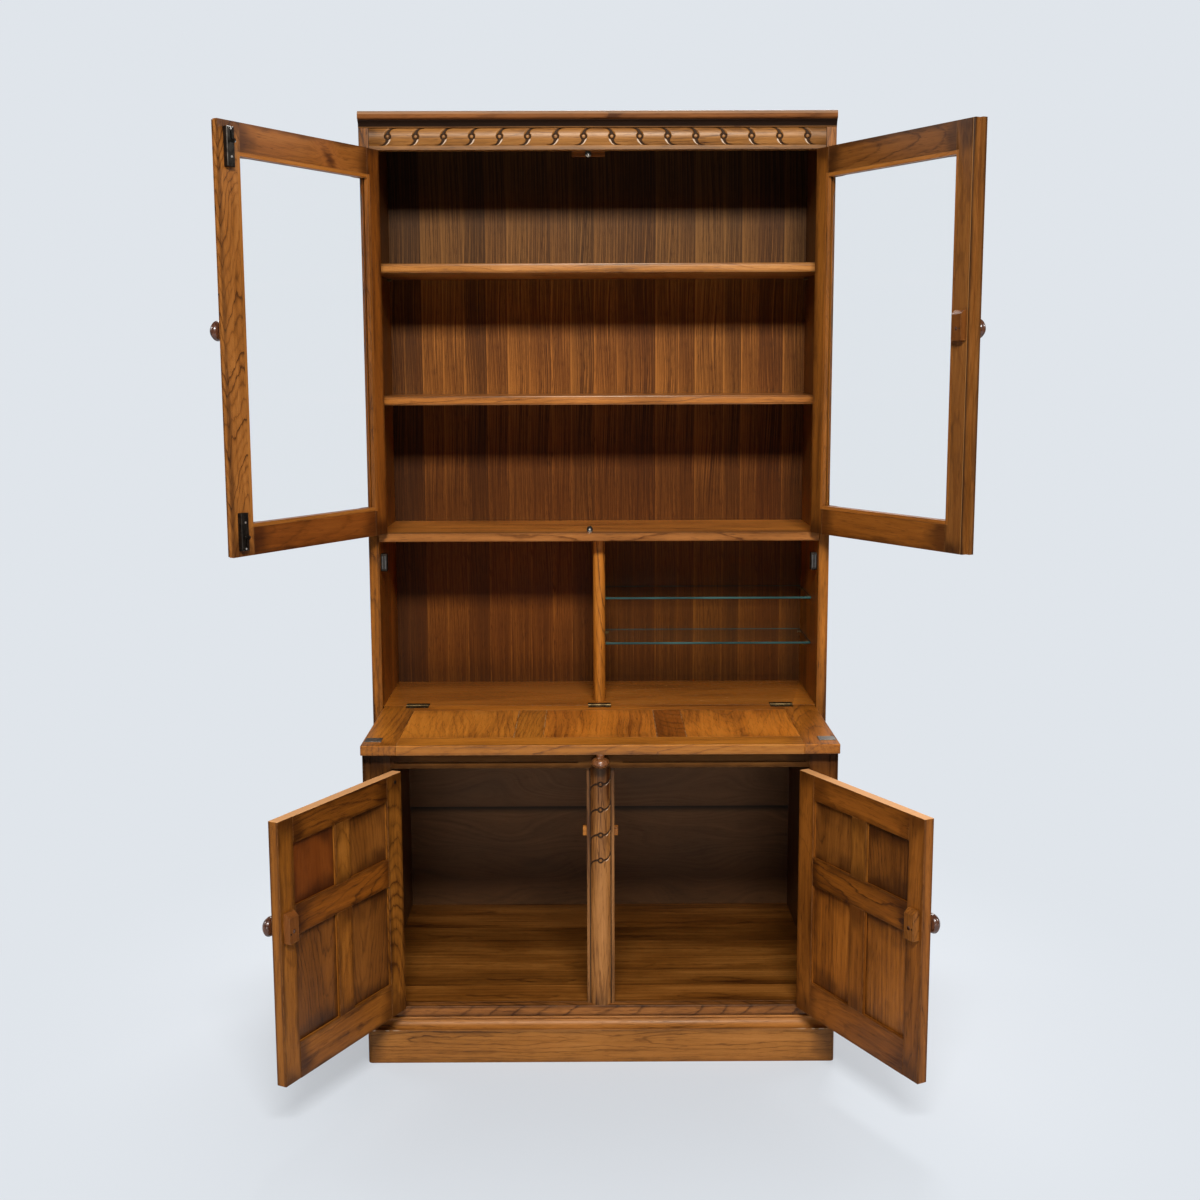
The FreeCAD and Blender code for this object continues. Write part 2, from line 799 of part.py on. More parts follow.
def bolt_spot():
    """X and Y of the bolts when the upper left door is closed."""
    return Vec(meeting_lap / 2 - bolt_from_edge, upper_door_back + bolt_axis_height, 0)


def bolt_ends(up):
    """Levels of the case end that faces the frame and of the far end."""
    room = 2 * keeper_radius - keeper_flat + bolt_case_end_gap
    near = frieze_underside - room if up > 0 else middle_top + room
    return near, near - up * bolt_case_length


def make_bolt_case(up):
    spot = bolt_spot()
    near, far = bolt_ends(up)
    half = bolt_case_width / 2
    back = upper_door_back + bolt_case_thickness
    case = board(spot.x - half, spot.x + half, upper_door_back, back, near, far)
    tail = far + up * (bolt_tail_margin - bolt_tail_room)
    bore = rod(bolt_rod_radius + bolt_fit, Vec(spot.x, spot.y, near), Vec(spot.x, spot.y, tail))
    slot_half = bolt_slot_width / 2
    slot_start = near - up * (bolt_slot_from_end - bolt_travel - slot_half)
    slot_end = near - up * (bolt_slot_from_end + slot_half)
    slot = box(spot.x - slot_half, spot.x + slot_half, spot.y, back, slot_start, slot_end)
    return case.cut([bore, slot])


def make_bolt(up):
    spot = bolt_spot()
    near, far = bolt_ends(up)
    tip = near + up * bolt_tip_out
    tail = far + up * bolt_tail_margin
    shank = rod(bolt_rod_radius, Vec(spot.x, spot.y, tail), Vec(spot.x, spot.y, tip))
    level = near - up * bolt_slot_from_end
    stem_end = upper_door_back + bolt_case_thickness + bolt_grip_stem
    stem = rod(bolt_grip_radius, Vec(spot.x, spot.y, level), Vec(spot.x, stem_end, level))
    head_end = stem_end + bolt_grip_head
    head = rod(bolt_grip_head_radius, Vec(spot.x, stem_end, level), Vec(spot.x, head_end, level))
    return joined(shank, stem, head)


# Doors, made closed and then swung open

def swung(side, hinge, angle, *solids):
    """Copies of closed-door solids turned about their hinge to the open pose."""
    pivot = Vec(hinge.pin_x, hinge.pin_y, 0)
    turned = []
    for solid in solids:
        copy = solid.copy()
        copy.rotate(pivot, Vec(0, 0, 1), side * angle)
        turned.append(copy)
    return turned


def stopped_chamfer(start, end, into_wood):
    """A cutter that bevels an arris of a door's outer face and dies out before both corners."""
    along = (end - start).normalize()
    inward = Vec(0, 1, 0)
    rings = []
    for spot, size in (
        (start + along * chamfer_stop, chamfer_trace),
        (start + along * (chamfer_stop + chamfer_runout), chamfer_size),
        (end - along * (chamfer_stop + chamfer_runout), chamfer_size),
        (end - along * chamfer_stop, chamfer_trace),
    ):
        leg = size + 2 * chamfer_overcut
        corner = spot - (into_wood + inward) * chamfer_overcut
        rings.append(Part.makePolygon([corner, corner + into_wood * leg, corner + inward * leg, corner]))
    return Part.makeLoft(rings, True, True)


def make_upper_door(side):
    """Frame pieces with beads, the pane and the hinge leaves of a closed glazed door."""
    low, high = middle_top + door_gap, frieze_underside - door_gap
    front, back = upper_front, upper_door_back
    hinge_edge = side * (inner_half - door_gap)
    sight_hinge = side * (inner_half - upper_hinge_stile)
    sight_free = side * upper_meeting_stile
    sight_low, sight_high = low + upper_bottom_rail, high - upper_top_rail
    half_depth = (front + back) / 2
    lap = meeting_lap / 2
    if side < 0:
        outer_edge, inner_edge = -lap, lap
        outer_back, inner_front = half_depth + lap_clearance / 2, half_depth + lap_clearance / 2
    else:
        outer_edge, inner_edge = -lap + meeting_gap, lap + meeting_gap
        outer_back, inner_front = half_depth - lap_clearance / 2, half_depth - lap_clearance / 2
    hinge_stile = board(hinge_edge, sight_hinge, front, back, low, high)
    meeting_stile = joined(
        box(sight_free, outer_edge, front, outer_back, low, high),
        box(sight_free, inner_edge, inner_front, back, low, high),
    )
    top_rail = box(sight_hinge, sight_free, front, back, sight_high, high)
    bottom_rail = box(sight_hinge, sight_free, front, back, low, sight_low)
    grow = glass_rebate
    seat = front + glass_front_lip
    hinge_seat, free_seat = sight_hinge + side * grow, sight_free - side * grow
    rebate = box(hinge_seat, free_seat, seat, back, sight_low - grow, sight_high + grow)
    frame = [piece.cut(rebate) for piece in (hinge_stile, meeting_stile, top_rail, bottom_rail)]
    hinge_low, free_low = Vec(sight_hinge, front, sight_low), Vec(sight_free, front, sight_low)
    hinge_high, free_high = Vec(sight_hinge, front, sight_high), Vec(sight_free, front, sight_high)
    chamfers = [
        stopped_chamfer(hinge_low, free_low, Vec(0, 0, -1)),
        stopped_chamfer(hinge_high, free_high, Vec(0, 0, 1)),
        stopped_chamfer(free_low, free_high, Vec(-side, 0, 0)),
        stopped_chamfer(hinge_low, hinge_high, Vec(side, 0, 0)),
    ]
    frame = [piece.cut(chamfers) for piece in frame]
    frame[0] = frame[0].cut([hinge.door_recess for hinge in upper_hinges[side]])
    if side > 0:
        knob_x = inner_edge + knob_from_edge
        frame[1] = frame[1].cut(spindle_hole(knob_x, front, upper_knob_height))
    gap = glass_edge_gap
    pane_low, pane_high = sight_low - grow + gap, sight_high + grow - gap
    pane = box(
        hinge_seat - side * gap, free_seat + side * gap, seat, seat + glass_thickness, pane_low, pane_high
    )
    bead_front = seat + glass_thickness
    beads = [
        box(hinge_seat, sight_hinge, bead_front, back, sight_low - grow, sight_high + grow),
        box(free_seat, sight_free, bead_front, back, sight_low - grow, sight_high + grow),
        box(sight_hinge, sight_free, bead_front, back, sight_low - grow, sight_low),
        box(sight_hinge, sight_free, bead_front, back, sight_high, sight_high + grow),
    ]
    return frame + beads, pane, [hinge.door_leaf for hinge in upper_hinges[side]]


def make_lower_door(side):
    """Frame pieces, panels and hinge leaves of a closed panelled door."""
    low, high = cupboard_floor_top + door_gap, rail_underside - door_gap
    front, back = base_front, lower_door_back
    outer = post_inner - door_gap
    inner = mullion_half + door_gap
    panel_outer = outer - lower_hinge_stile
    panel_inner = inner + lower_free_stile
    middle = (panel_outer + panel_inner) / 2
    half_muntin = lower_muntin / 2
    upper_high = high - lower_top_rail
    upper_low = upper_high - lower_upper_panel_height
    lower_high = upper_low - lower_lock_rail
    lower_low = low + lower_bottom_rail
    frame = [
        board(side * outer, side * panel_outer, front, back, low, high),
        board(side * inner, side * panel_inner, front, back, low, high),
        box(side * panel_inner, side * panel_outer, front, back, upper_high, high),
        box(side * panel_inner, side * panel_outer, front, back, lower_high, upper_low),
        box(side * panel_inner, side * panel_outer, front, back, low, lower_low),
        box(side * (middle - half_muntin), side * (middle + half_muntin), front, back, upper_low, upper_high),
        box(side * (middle - half_muntin), side * (middle + half_muntin), front, back, lower_low, lower_high),
    ]
    panel_back = back - panel_inner_recess
    panel_front = panel_back - panel_thickness
    grow, fit = panel_tongue, panel_groove_fit
    panels, grooves = [], []
    for x0, x1 in ((panel_inner, middle - half_muntin), (middle + half_muntin, panel_outer)):
        for z0, z1 in ((lower_low, lower_high), (upper_low, upper_high)):
            left, right = side * (x0 - grow), side * (x1 + grow)
            panels.append(box(left, right, panel_front, panel_back, z0 - grow, z1 + grow))
            left, right = side * (x0 - grow - fit), side * (x1 + grow + fit)
            bottom, top = z0 - grow - fit, z1 + grow + fit
            grooves.append(box(left, right, panel_front - fit, panel_back + fit, bottom, top))
    frame = [piece.cut(grooves) for piece in frame]
    frame[0] = frame[0].cut([hinge.door_recess for hinge in lower_hinges[side]])
    knob_x = side * (inner + knob_from_edge)
    frame[1] = frame[1].cut(spindle_hole(knob_x, front, lower_knob_height))
    return frame, panels, [hinge.door_leaf for hinge in lower_hinges[side]]


def make_flap():
    """Frame pieces, flush panels and strikers of the lowered flap."""
    half = inner_half - flap_side_gap
    high = desk_floor_top
    low = high - flap_thickness
    back = flap_hinge_y - flap_joint_gap
    front = flap_hinge_y - flap_length
    panel_back = back - flap_hinge_rail
    panel_front = front + flap_front_rail
    stile_edge = half - flap_end_stile
    bay = (2 * stile_edge - 2 * flap_muntin) / 3
    muntin_inner = bay / 2
    muntin_outer = muntin_inner + flap_muntin
    frame = [
        board(-half, -stile_edge, front, back, low, high),
        board(stile_edge, half, front, back, low, high),
        box(-stile_edge, stile_edge, panel_back, back, low, high),
        box(-stile_edge, stile_edge, front, panel_front, low, high),
        box(-muntin_outer, -muntin_inner, panel_front, panel_back, low, high),
        box(muntin_inner, muntin_outer, panel_front, panel_back, low, high),
    ]
    joint = flap_panel_joint
    tongue_high = high - (flap_panel_thickness - flap_tongue_thickness) / 2
    tongue_low = tongue_high - flap_tongue_thickness
    fit = panel_groove_fit
    panels, upright_grooves, rail_grooves = [], [], []
    for x0, x1 in ((-stile_edge, -muntin_outer), (-muntin_inner, muntin_inner), (muntin_outer, stile_edge)):
        face_low = high - flap_panel_thickness
        face = box(x0 + joint, x1 - joint, panel_front + joint, panel_back - joint, face_low, high)
        out = flap_tongue
        tongue = box(x0 - out, x1 + out, panel_front - out, panel_back + out, tongue_low, tongue_high)
        panels.append(joined(face, tongue))
        near, far = flap_tongue + fit, flap_tongue + 2 * fit
        lips = (tongue_low - fit, tongue_high + fit)
        upright_grooves.append(box(x0 - near, x1 + near, panel_front - far, panel_back + far, *lips))
        rail_grooves.append(box(x0 - far, x1 + far, panel_front - near, panel_back + near, *lips))
    stiles, rails, muntins = frame[:2], frame[2:4], frame[4:]
    frame = [piece.cut(upright_grooves) for piece in stiles + muntins]
    frame += [piece.cut(rail_grooves) for piece in rails]
    cuts = []
    for hinge in flap_hinges:
        cuts += [hinge.relief, hinge.flap_recess]
    frame = [piece.cut(cuts) for piece in frame]
    middle = flap_opening_height - catch_below_middle
    striker_y = flap_hinge_y - middle
    strikers = []
    for side in (-1, 1):
        outer = side * (half - striker_side_margin)
        inner = outer - side * striker_width
        y0, y1 = striker_y - striker_length / 2, striker_y + striker_length / 2
        strikers.append(box(inner, outer, y0, y1, high, high + striker_thickness))
    knob_y = base_front - knob_radius - flap_knob_clearance
    knob = turned_knob(Vec(0, knob_y, low), Vec(0, 0, -1))
    return frame, panels, strikers, knob


def make_desk_floor():
    front = flap_hinge_y + flap_joint_gap
    shape = box(-inner_half, inner_half, front, upper_back_front, base_top, desk_floor_top)
    cuts = []
    for hinge in flap_hinges:
        cuts += [hinge.relief, hinge.floor_recess]
    return shape.cut(cuts)


# Write every node
os.makedirs("parts", exist_ok=True)

for side, word in ((-1, "left"), (1, "right")):
    keep("tall_side_" + word, make_tall_side(side))
    keep("base_side_" + word, make_base_side(side))
    keep("base_post_" + word, make_post(side))
keep("top_board", make_top_board())
keep("cornice_cove", make_cove())
keep("frieze_rail", make_frieze())
keep(
    "upper_back_panel",
    box(-inner_half, inner_half, upper_back_front, base_back_front, base_top, cove_top),
)
keep("middle_board", make_middle_board())
keep("lower_shelf", make_wood_shelf(wood_shelf_heights[0]))
keep("upper_shelf", make_wood_shelf(wood_shelf_heights[1]))
peg_walls = ((-inner_half, 1), (inner_half, -1))
keep("shelf_pegs", *[sunk_pin(x, way, peg_radius, z, y) for x, way in peg_walls for z, y in peg_rows()])
keep("desk_divider", make_divider())
keep("lower_glass_shelf", make_glass_shelf(glass_shelf_heights[0]))
keep("upper_glass_shelf", make_glass_shelf(glass_shelf_heights[1]))
stud_walls = ((inner_half, -1), (divider_thickness / 2, 1))
shelf_studs = [sunk_pin(x, way, stud_radius, z, y) for x, way in stud_walls for z, y in stud_rows()]
keep("glass_shelf_studs", *shelf_studs)
keep("desk_floor", make_desk_floor())
keep("bolt_keeper_block", make_keeper_block())
keep("bolt_keepers", *make_bolt_keepers())
keep("flap_catches", make_catch(-1), make_catch(1))

keep(
    "base_top_board",
    box(-inner_half, inner_half, base_frame_back, base_back_front, base_top_underside, base_top),
)
keep("base_top_rail", make_top_rail())
keep("bottom_rail", board(-post_inner, post_inner, base_front, base_frame_back, cap_top, cupboard_floor_top))
floor_underside = cupboard_floor_top - cupboard_floor_thickness
floor_half = base_inner_half
keep(
    "cupboard_floor",
    box(-floor_half, floor_half, base_frame_back, base_back_front, floor_underside, cupboard_floor_top),
)
keep("base_back_panel", box(-inner_half, inner_half, base_back_front, back_plane, plinth_height, base_top))
rail_front = base_back_front - base_back_rail_thickness
rail_low = base_top_underside - base_back_rail_height
keep(
    "base_back_rail",
    box(-base_inner_half, base_inner_half, rail_front, base_back_front, rail_low, base_top_underside),
)
keep("mullion", make_mullion(), make_stop_block(-1), make_stop_block(1))
keep("plinth_front", make_plinth_front())
keep("plinth_frame", *make_plinth_frame())
keep("plinth_cap", make_plinth_cap())

every_hinge = upper_hinges[-1] + upper_hinges[1] + lower_hinges[-1] + lower_hinges[1]
frame_leaves = [hinge.frame_leaf for hinge in every_hinge] + [hinge.floor_leaf for hinge in flap_hinges]
hinge_pins = [hinge.pin for hinge in every_hinge + flap_hinges]
keep("hinge_frame_leaves", *frame_leaves, *hinge_pins)

for side, word in ((-1, "left"), (1, "right")):
    hinge = upper_hinges[side][0]
    frame, pane, leaves = make_upper_door(side)
    keep("upper_%s_door_frame" % word, *swung(side, hinge, upper_open_angle, *frame))
    keep("upper_%s_door_glass" % word, *swung(side, hinge, upper_open_angle, pane))
    keep("upper_%s_hinge_leaves" % word, *swung(side, hinge, upper_open_angle, *leaves))
    if side < 0:
        knob = turned_knob(Vec(bolt_spot().x, upper_front, upper_knob_height), Vec(0, -1, 0))
        cases = [make_bolt_case(1), make_bolt_case(-1)]
        keep("upper_left_knob", *swung(side, hinge, upper_open_angle, knob))
        keep("bolt_cases", *swung(side, hinge, upper_open_angle, *cases))
        keep("upper_bolt", *swung(side, hinge, upper_open_angle, make_bolt(1)))
        keep("lower_bolt", *swung(side, hinge, upper_open_angle, make_bolt(-1)))
    else:
        x = meeting_lap / 2 + meeting_gap + knob_from_edge
        knob = turning_knob(x, upper_front, upper_knob_height)
        button = turn_button(x, upper_front, upper_knob_height)
        keep("upper_right_knob", *swung(side, hinge, upper_open_angle, knob))
        keep("upper_right_turn_button", *swung(side, hinge, upper_open_angle, button))

for side, word in ((-1, "left"), (1, "right")):
    hinge = lower_hinges[side][0]
    frame, panels, leaves = make_lower_door(side)
    x = side * (mullion_half + door_gap + knob_from_edge)
    knob = turning_knob(x, base_front, lower_knob_height)
    button = turn_button(x, base_front, lower_knob_height)
    keep("lower_%s_door_frame" % word, *swung(side, hinge, lower_open_angle, *frame))
    keep("lower_%s_door_panels" % word, *swung(side, hinge, lower_open_angle, *panels))
    keep("lower_%s_hinge_leaves" % word, *swung(side, hinge, lower_open_angle, *leaves))
    keep("lower_%s_knob" % word, *swung(side, hinge, lower_open_angle, knob))
    keep("lower_%s_turn_button" % word, *swung(side, hinge, lower_open_angle, button))

flap_frame, flap_panels, flap_strikers, flap_knob = make_flap()
keep("flap_frame", *flap_frame)
keep("flap_panels", *flap_panels)
keep("flap_strikers", *flap_strikers)
keep("flap_knob", flap_knob)
keep("flap_hinge_leaves", *[hinge.flap_leaf for hinge in flap_hinges])
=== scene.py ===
import itertools
import json
import math

import bpy
import numpy as np
from mathutils import Matrix, Vector


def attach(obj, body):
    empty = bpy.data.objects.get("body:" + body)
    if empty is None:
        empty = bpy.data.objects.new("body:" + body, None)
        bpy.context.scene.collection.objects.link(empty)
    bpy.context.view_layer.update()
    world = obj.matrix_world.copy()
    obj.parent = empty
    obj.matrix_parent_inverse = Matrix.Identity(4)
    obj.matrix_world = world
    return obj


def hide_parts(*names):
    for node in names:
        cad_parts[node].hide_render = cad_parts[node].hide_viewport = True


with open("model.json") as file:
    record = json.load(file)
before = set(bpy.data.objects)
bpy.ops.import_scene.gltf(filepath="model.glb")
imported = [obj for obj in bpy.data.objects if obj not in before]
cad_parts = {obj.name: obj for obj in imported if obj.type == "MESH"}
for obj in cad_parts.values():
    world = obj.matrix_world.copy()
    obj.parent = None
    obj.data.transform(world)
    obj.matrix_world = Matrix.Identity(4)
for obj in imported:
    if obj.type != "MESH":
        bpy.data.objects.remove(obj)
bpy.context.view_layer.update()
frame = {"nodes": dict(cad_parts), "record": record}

cadNodes = frame["nodes"]
record = frame["record"]
bodyOf = {member: body for body, members in record["behaviour"]["bodies"].items() for member in members}
otherNames = {
    "top_board": "cornice", "upper_back_panel": "displayBack", "bolt_keeper_block": "keeperBlock",
    "base_top_board": "baseTop", "base_back_panel": "cupboardBack", "base_back_rail": "cupboardBackRail",
}
meshing = dict(weld=0.00001, flatAngle=0.3, edgeAngle=30, boardEase=0.0006, faceInset=0.0004)
boardSeed = {"step": 1.37, "counter": itertools.count(1)}
farOff = 9999


# selection and small mesh helpers

def pieceName(node):
    first, *rest = node.split("_")
    return otherNames.get(node, first + "".join(word.capitalize() for word in rest))


def selectOnly(piece):
    bpy.ops.object.select_all(action="DESELECT")
    piece.select_set(True)
    bpy.context.view_layer.objects.active = piece


def copyNode(node, name):
    piece = bpy.data.objects.new(name, cadNodes[node].data.copy())
    bpy.context.scene.collection.objects.link(piece)
    piece.data.materials.clear()
    return piece


def addBox(size, middle):
    bpy.ops.object.select_all(action="DESELECT")
    bpy.ops.mesh.primitive_cube_add(size=1)
    piece = bpy.context.object
    piece.scale, piece.location = size, middle
    bpy.ops.object.transform_apply(location=True, rotation=True, scale=True)
    return piece


def startEdit(piece, kind, chosen):
    # edit mode with the chosen edges or polygons selected
    selectOnly(piece)
    bpy.context.tool_settings.mesh_select_mode = (False, kind == "edges", kind == "polygons")
    bpy.ops.object.mode_set(mode="EDIT")
    bpy.ops.mesh.select_all(action="DESELECT")
    bpy.ops.object.mode_set(mode="OBJECT")
    getattr(piece.data, kind).foreach_set("select", chosen)
    bpy.ops.object.mode_set(mode="EDIT")


def mergeFaces(piece):
    selectOnly(piece)
    bpy.ops.object.mode_set(mode="EDIT")
    bpy.ops.mesh.select_all(action="SELECT")
    bpy.ops.mesh.remove_doubles(threshold=meshing["weld"])
    bpy.ops.mesh.dissolve_limited(angle_limit=math.radians(meshing["flatAngle"]))
    bpy.ops.object.mode_set(mode="OBJECT")


def smooth(piece, angle=meshing["edgeAngle"]):
    selectOnly(piece)
    bpy.ops.object.shade_smooth_by_angle(angle=math.radians(angle))


def easeEdges(piece, width, segments=2):
    smooth(piece)
    ease = piece.modifiers.new("ease", "BEVEL")
    ease.width = width
    ease.segments = segments
    ease.limit_method = "ANGLE"
    ease.angle_limit = math.radians(meshing["edgeAngle"])
    ease.harden_normals = True
    bpy.ops.object.modifier_apply(modifier="ease")


def cutAway(piece, cutter):
    selectOnly(piece)
    cut = piece.modifiers.new("cut", "BOOLEAN")
    cut.operation = "DIFFERENCE"
    cut.object = cutter
    bpy.ops.object.modifier_apply(modifier="cut")
    bpy.data.objects.remove(cutter)


def vectors(items, label):
    values = np.zeros(len(items) * 3)
    items.foreach_get(label, values)
    return values.reshape(-1, 3)


def joinBoards(boards, name):
    piece = boards[0]
    selectOnly(piece)
    for board in boards:
        board.select_set(True)
    if len(boards) > 1:
        bpy.ops.object.join()
    piece.name = piece.data.name = name
    return piece


def giveTo(piece, node, *others):
    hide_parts(node, *others)
    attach(piece, bodyOf[node])


# doors are laid out closed, so their boards can be told apart by straight limits in mm

uprightOnly = {"pin": (0.0, 0.0), "turn": 0.0, "mirror": 1}
swings = {
    "upper_left": {"pin": (-0.47725, 0.0152), "turn": 119.3, "mirror": -1},
    "upper_right": {"pin": (0.47725, 0.0152), "turn": -119.3, "mirror": 1},
    "lower_left": {"pin": (-0.42025, -0.3018), "turn": 117.0, "mirror": -1},
    "lower_right": {"pin": (0.42025, -0.3018), "turn": -117.0, "mirror": 1},
}


def closedSpots(spots, swing):
    turn = math.radians(swing["turn"])
    pinX, pinY = swing["pin"]
    dx, dy = spots[:, 0] - pinX, spots[:, 1] - pinY
    out = spots.copy()
    out[:, 0] = (pinX + dx * math.cos(turn) - dy * math.sin(turn)) * swing["mirror"]
    out[:, 1] = pinY + dx * math.sin(turn) + dy * math.cos(turn)
    return out


def openDoor(swing):
    # from the closed door to the door as it stands open
    pin = Vector((*swing["pin"], 0))
    turn = Matrix.Rotation(-math.radians(swing["turn"]), 4, "Z")
    return Matrix.Translation(pin) @ turn @ Matrix.Translation(-pin)


def takeBoard(piece, limits, swing):
    # faces are told apart by a spot just under each one's middle
    faces = piece.data.polygons
    under = vectors(faces, "center") - vectors(faces, "normal") * meshing["faceInset"]
    spots = closedSpots(under, swing) * 1000
    chosen = np.ones(len(faces), bool)
    for axis, (low, high) in limits.items():
        value = spots[:, "XYZ".index(axis)]
        chosen &= (value > low) & (value < high)
    startEdit(piece, "polygons", chosen)
    bpy.ops.mesh.separate(type="SELECTED")
    bpy.ops.object.mode_set(mode="OBJECT")
    return [other for other in bpy.context.selected_objects if other is not piece][0]


def markGrain(board, along, swing=uprightOnly):
    # place runs 0 to 1 along, across and through the board; span is its size
    spots = closedSpots(vectors(board.data.vertices, "co"), swing)
    low = spots.min(0)
    size = spots.max(0) - low
    first = "XYZ".index(along)
    order = [first] + sorted([axis for axis in range(3) if axis != first], key=lambda axis: -size[axis])
    place = ((spots - low) / np.maximum(size, 1e-6))[:, order]
    seed = next(boardSeed["counter"]) * boardSeed["step"]
    for name, kind, field, values in (
        ("place", "FLOAT_VECTOR", "vector", place),
        ("span", "FLOAT_VECTOR", "vector", np.tile(size[order], (len(spots), 1))),
        ("seed", "FLOAT", "value", np.full(len(spots), seed)),
    ):
        layer = board.data.attributes.new(name, kind, "POINT")
        layer.data.foreach_set(field, values.astype(np.float32).ravel())


def below(value):
    return (-farOff, value)


def above(value):
    return (value, farOff)


def oneBoard(along, finish=None, groove=None, **limits):
    return {"along": along, "finish": finish, "groove": groove, "limits": limits}


def cutGroove(board, groove, swing):
    # a straight groove down the board, its limits in mm on the closed door
    low, high = [Vector([groove[axis][end] for axis in "XYZ"]) / 1000 for end in (0, 1)]
    cutter = addBox(high - low, (low + high) / 2)
    cutter.data.transform(openDoor(swing))
    cutAway(board, cutter)


def dressBoard(piece, along, finish, swing=uprightOnly, ease=meshing["boardEase"]):
    easeEdges(piece, ease)
    markGrain(piece, along, swing)
    piece.data.materials.append(finish)


def timber(node, boards, finish, swing=uprightOnly, ease=meshing["boardEase"]):
    name = pieceName(node)
    whole = copyNode(node, name + "Whole")
    loose = [takeBoard(whole, board["limits"], swing) for board in boards[:-1]] + [whole]
    for board, piece in zip(boards, loose):
        mergeFaces(piece)
        if board["groove"]:
            cutGroove(piece, board["groove"], swing)
        dressBoard(piece, board["along"], finishes[board["finish"] or finish], swing, ease)
    giveTo(joinBoards(loose, name), node)


# shader helpers

class Sheet:
    # a node tree with short ways to add and join nodes
    def __init__(self, tree):
        self.tree = tree

    def add(self, kind, **values):
        node = self.tree.nodes.new(kind)
        for key, value in values.items():
            setattr(node, key, value)
        return node

    def join(self, source, target):
        # the source is a number, a tuple or another node's socket
        if isinstance(source, (int, float, tuple)):
            target.default_value = (*source, 1.0)[:4] if target.type == "RGBA" else source
        else:
            self.tree.links.new(source, target)

    def feed(self, node, values):
        for value, socket in zip(values, node.inputs):
            self.join(value, socket)
        return node.outputs[0]

    def fill(self, sockets, values):
        for label, value in values.items():
            self.join(value, sockets[label])

    def calc(self, operation, *values, clamp=False):
        return self.feed(self.add("ShaderNodeMath", operation=operation, use_clamp=clamp), values)

    def times(self, first, *others):
        for other in others:
            first = self.calc("MULTIPLY", first, other)
        return first

    def plus(self, first, *others):
        for other in others:
            first = self.calc("ADD", first, other)
        return first

    def less(self, first, second):
        return self.calc("SUBTRACT", first, second)

    def scaled(self, value, by, base, clamp=False):
        return self.calc("MULTIPLY_ADD", value, by, base, clamp=clamp)

    def sway(self, value, by, base=0.0):
        # a noise value's swing to both sides of its middle
        return self.scaled(self.less(value, 0.5), by, base)

    def length(self, first, second):
        return self.calc("SQRT", self.plus(self.times(first, first), self.times(second, second)))

    def vector(self, operation, *values):
        return self.feed(self.add("ShaderNodeVectorMath", operation=operation), values)

    def combine(self, *values):
        return self.feed(self.add("ShaderNodeCombineXYZ"), values)

    def split(self, vector):
        node = self.add("ShaderNodeSeparateXYZ")
        self.join(vector, node.inputs[0])
        return node.outputs

    def spot(self):
        return self.add("ShaderNodeTexCoord").outputs["Object"]

    def attribute(self, name, kind="Fac"):
        return self.add("ShaderNodeAttribute", attribute_name=name).outputs[kind]

    def noise(self, vector, scale=1.0, detail=2.0, rough=0.5):
        node = self.add("ShaderNodeTexNoise")
        self.fill(node.inputs, {"Vector": vector, "Scale": scale, "Detail": detail, "Roughness": rough})
        return node.outputs["Fac"]

    def chance(self, value):
        node = self.add("ShaderNodeTexWhiteNoise", noise_dimensions="1D")
        self.join(value, node.inputs["W"])
        return node.outputs

    def span(self, value, low, high, start=0.0, end=1.0):
        node = self.add("ShaderNodeMapRange", interpolation_type="SMOOTHSTEP")
        return self.feed(node, (value, low, high, start, end))

    def ramp(self, value, stops):
        node = self.add("ShaderNodeValToRGB")
        self.join(value, node.inputs[0])
        while len(node.color_ramp.elements) < len(stops):
            node.color_ramp.elements.new(0.5)
        for element, (spot, color) in zip(node.color_ramp.elements, stops):
            element.position = spot
            element.color = (*color, 1.0)
        return node.outputs[0]

    def mix(self, amount, first, second, blend="MIX"):
        node = self.add("ShaderNodeMix", data_type="RGBA", blend_type=blend)
        for value, index in ((amount, 0), (first, 6), (second, 7)):
            self.join(value, node.inputs[index])
        return node.outputs[2]

    def bump(self, height, strength, distance):
        node = self.add("ShaderNodeBump")
        self.fill(node.inputs, {"Height": height, "Strength": strength, "Distance": distance})
        return node.outputs[0]

    def choose(self, share, first, second):
        return self.feed(self.add("ShaderNodeMixShader"), (share, first, second))


floatKind, colorKind, vectorKind = "NodeSocketFloat", "NodeSocketColor", "NodeSocketVector"


def makeGroup(name, inputs, outputs):
    # an input's kind follows from its value: a number, three for a vector, four for a colour
    tree = bpy.data.node_groups.new(name, "ShaderNodeTree")
    for label, value in inputs.items():
        kind = floatKind if isinstance(value, float) else vectorKind if len(value) == 3 else colorKind
        tree.interface.new_socket(name=label, in_out="INPUT", socket_type=kind).default_value = value
    for label, kind in outputs.items():
        tree.interface.new_socket(name=label, in_out="OUTPUT", socket_type=kind)
    sheet = Sheet(tree)
    return sheet, sheet.add("NodeGroupInput").outputs, sheet.add("NodeGroupOutput").inputs


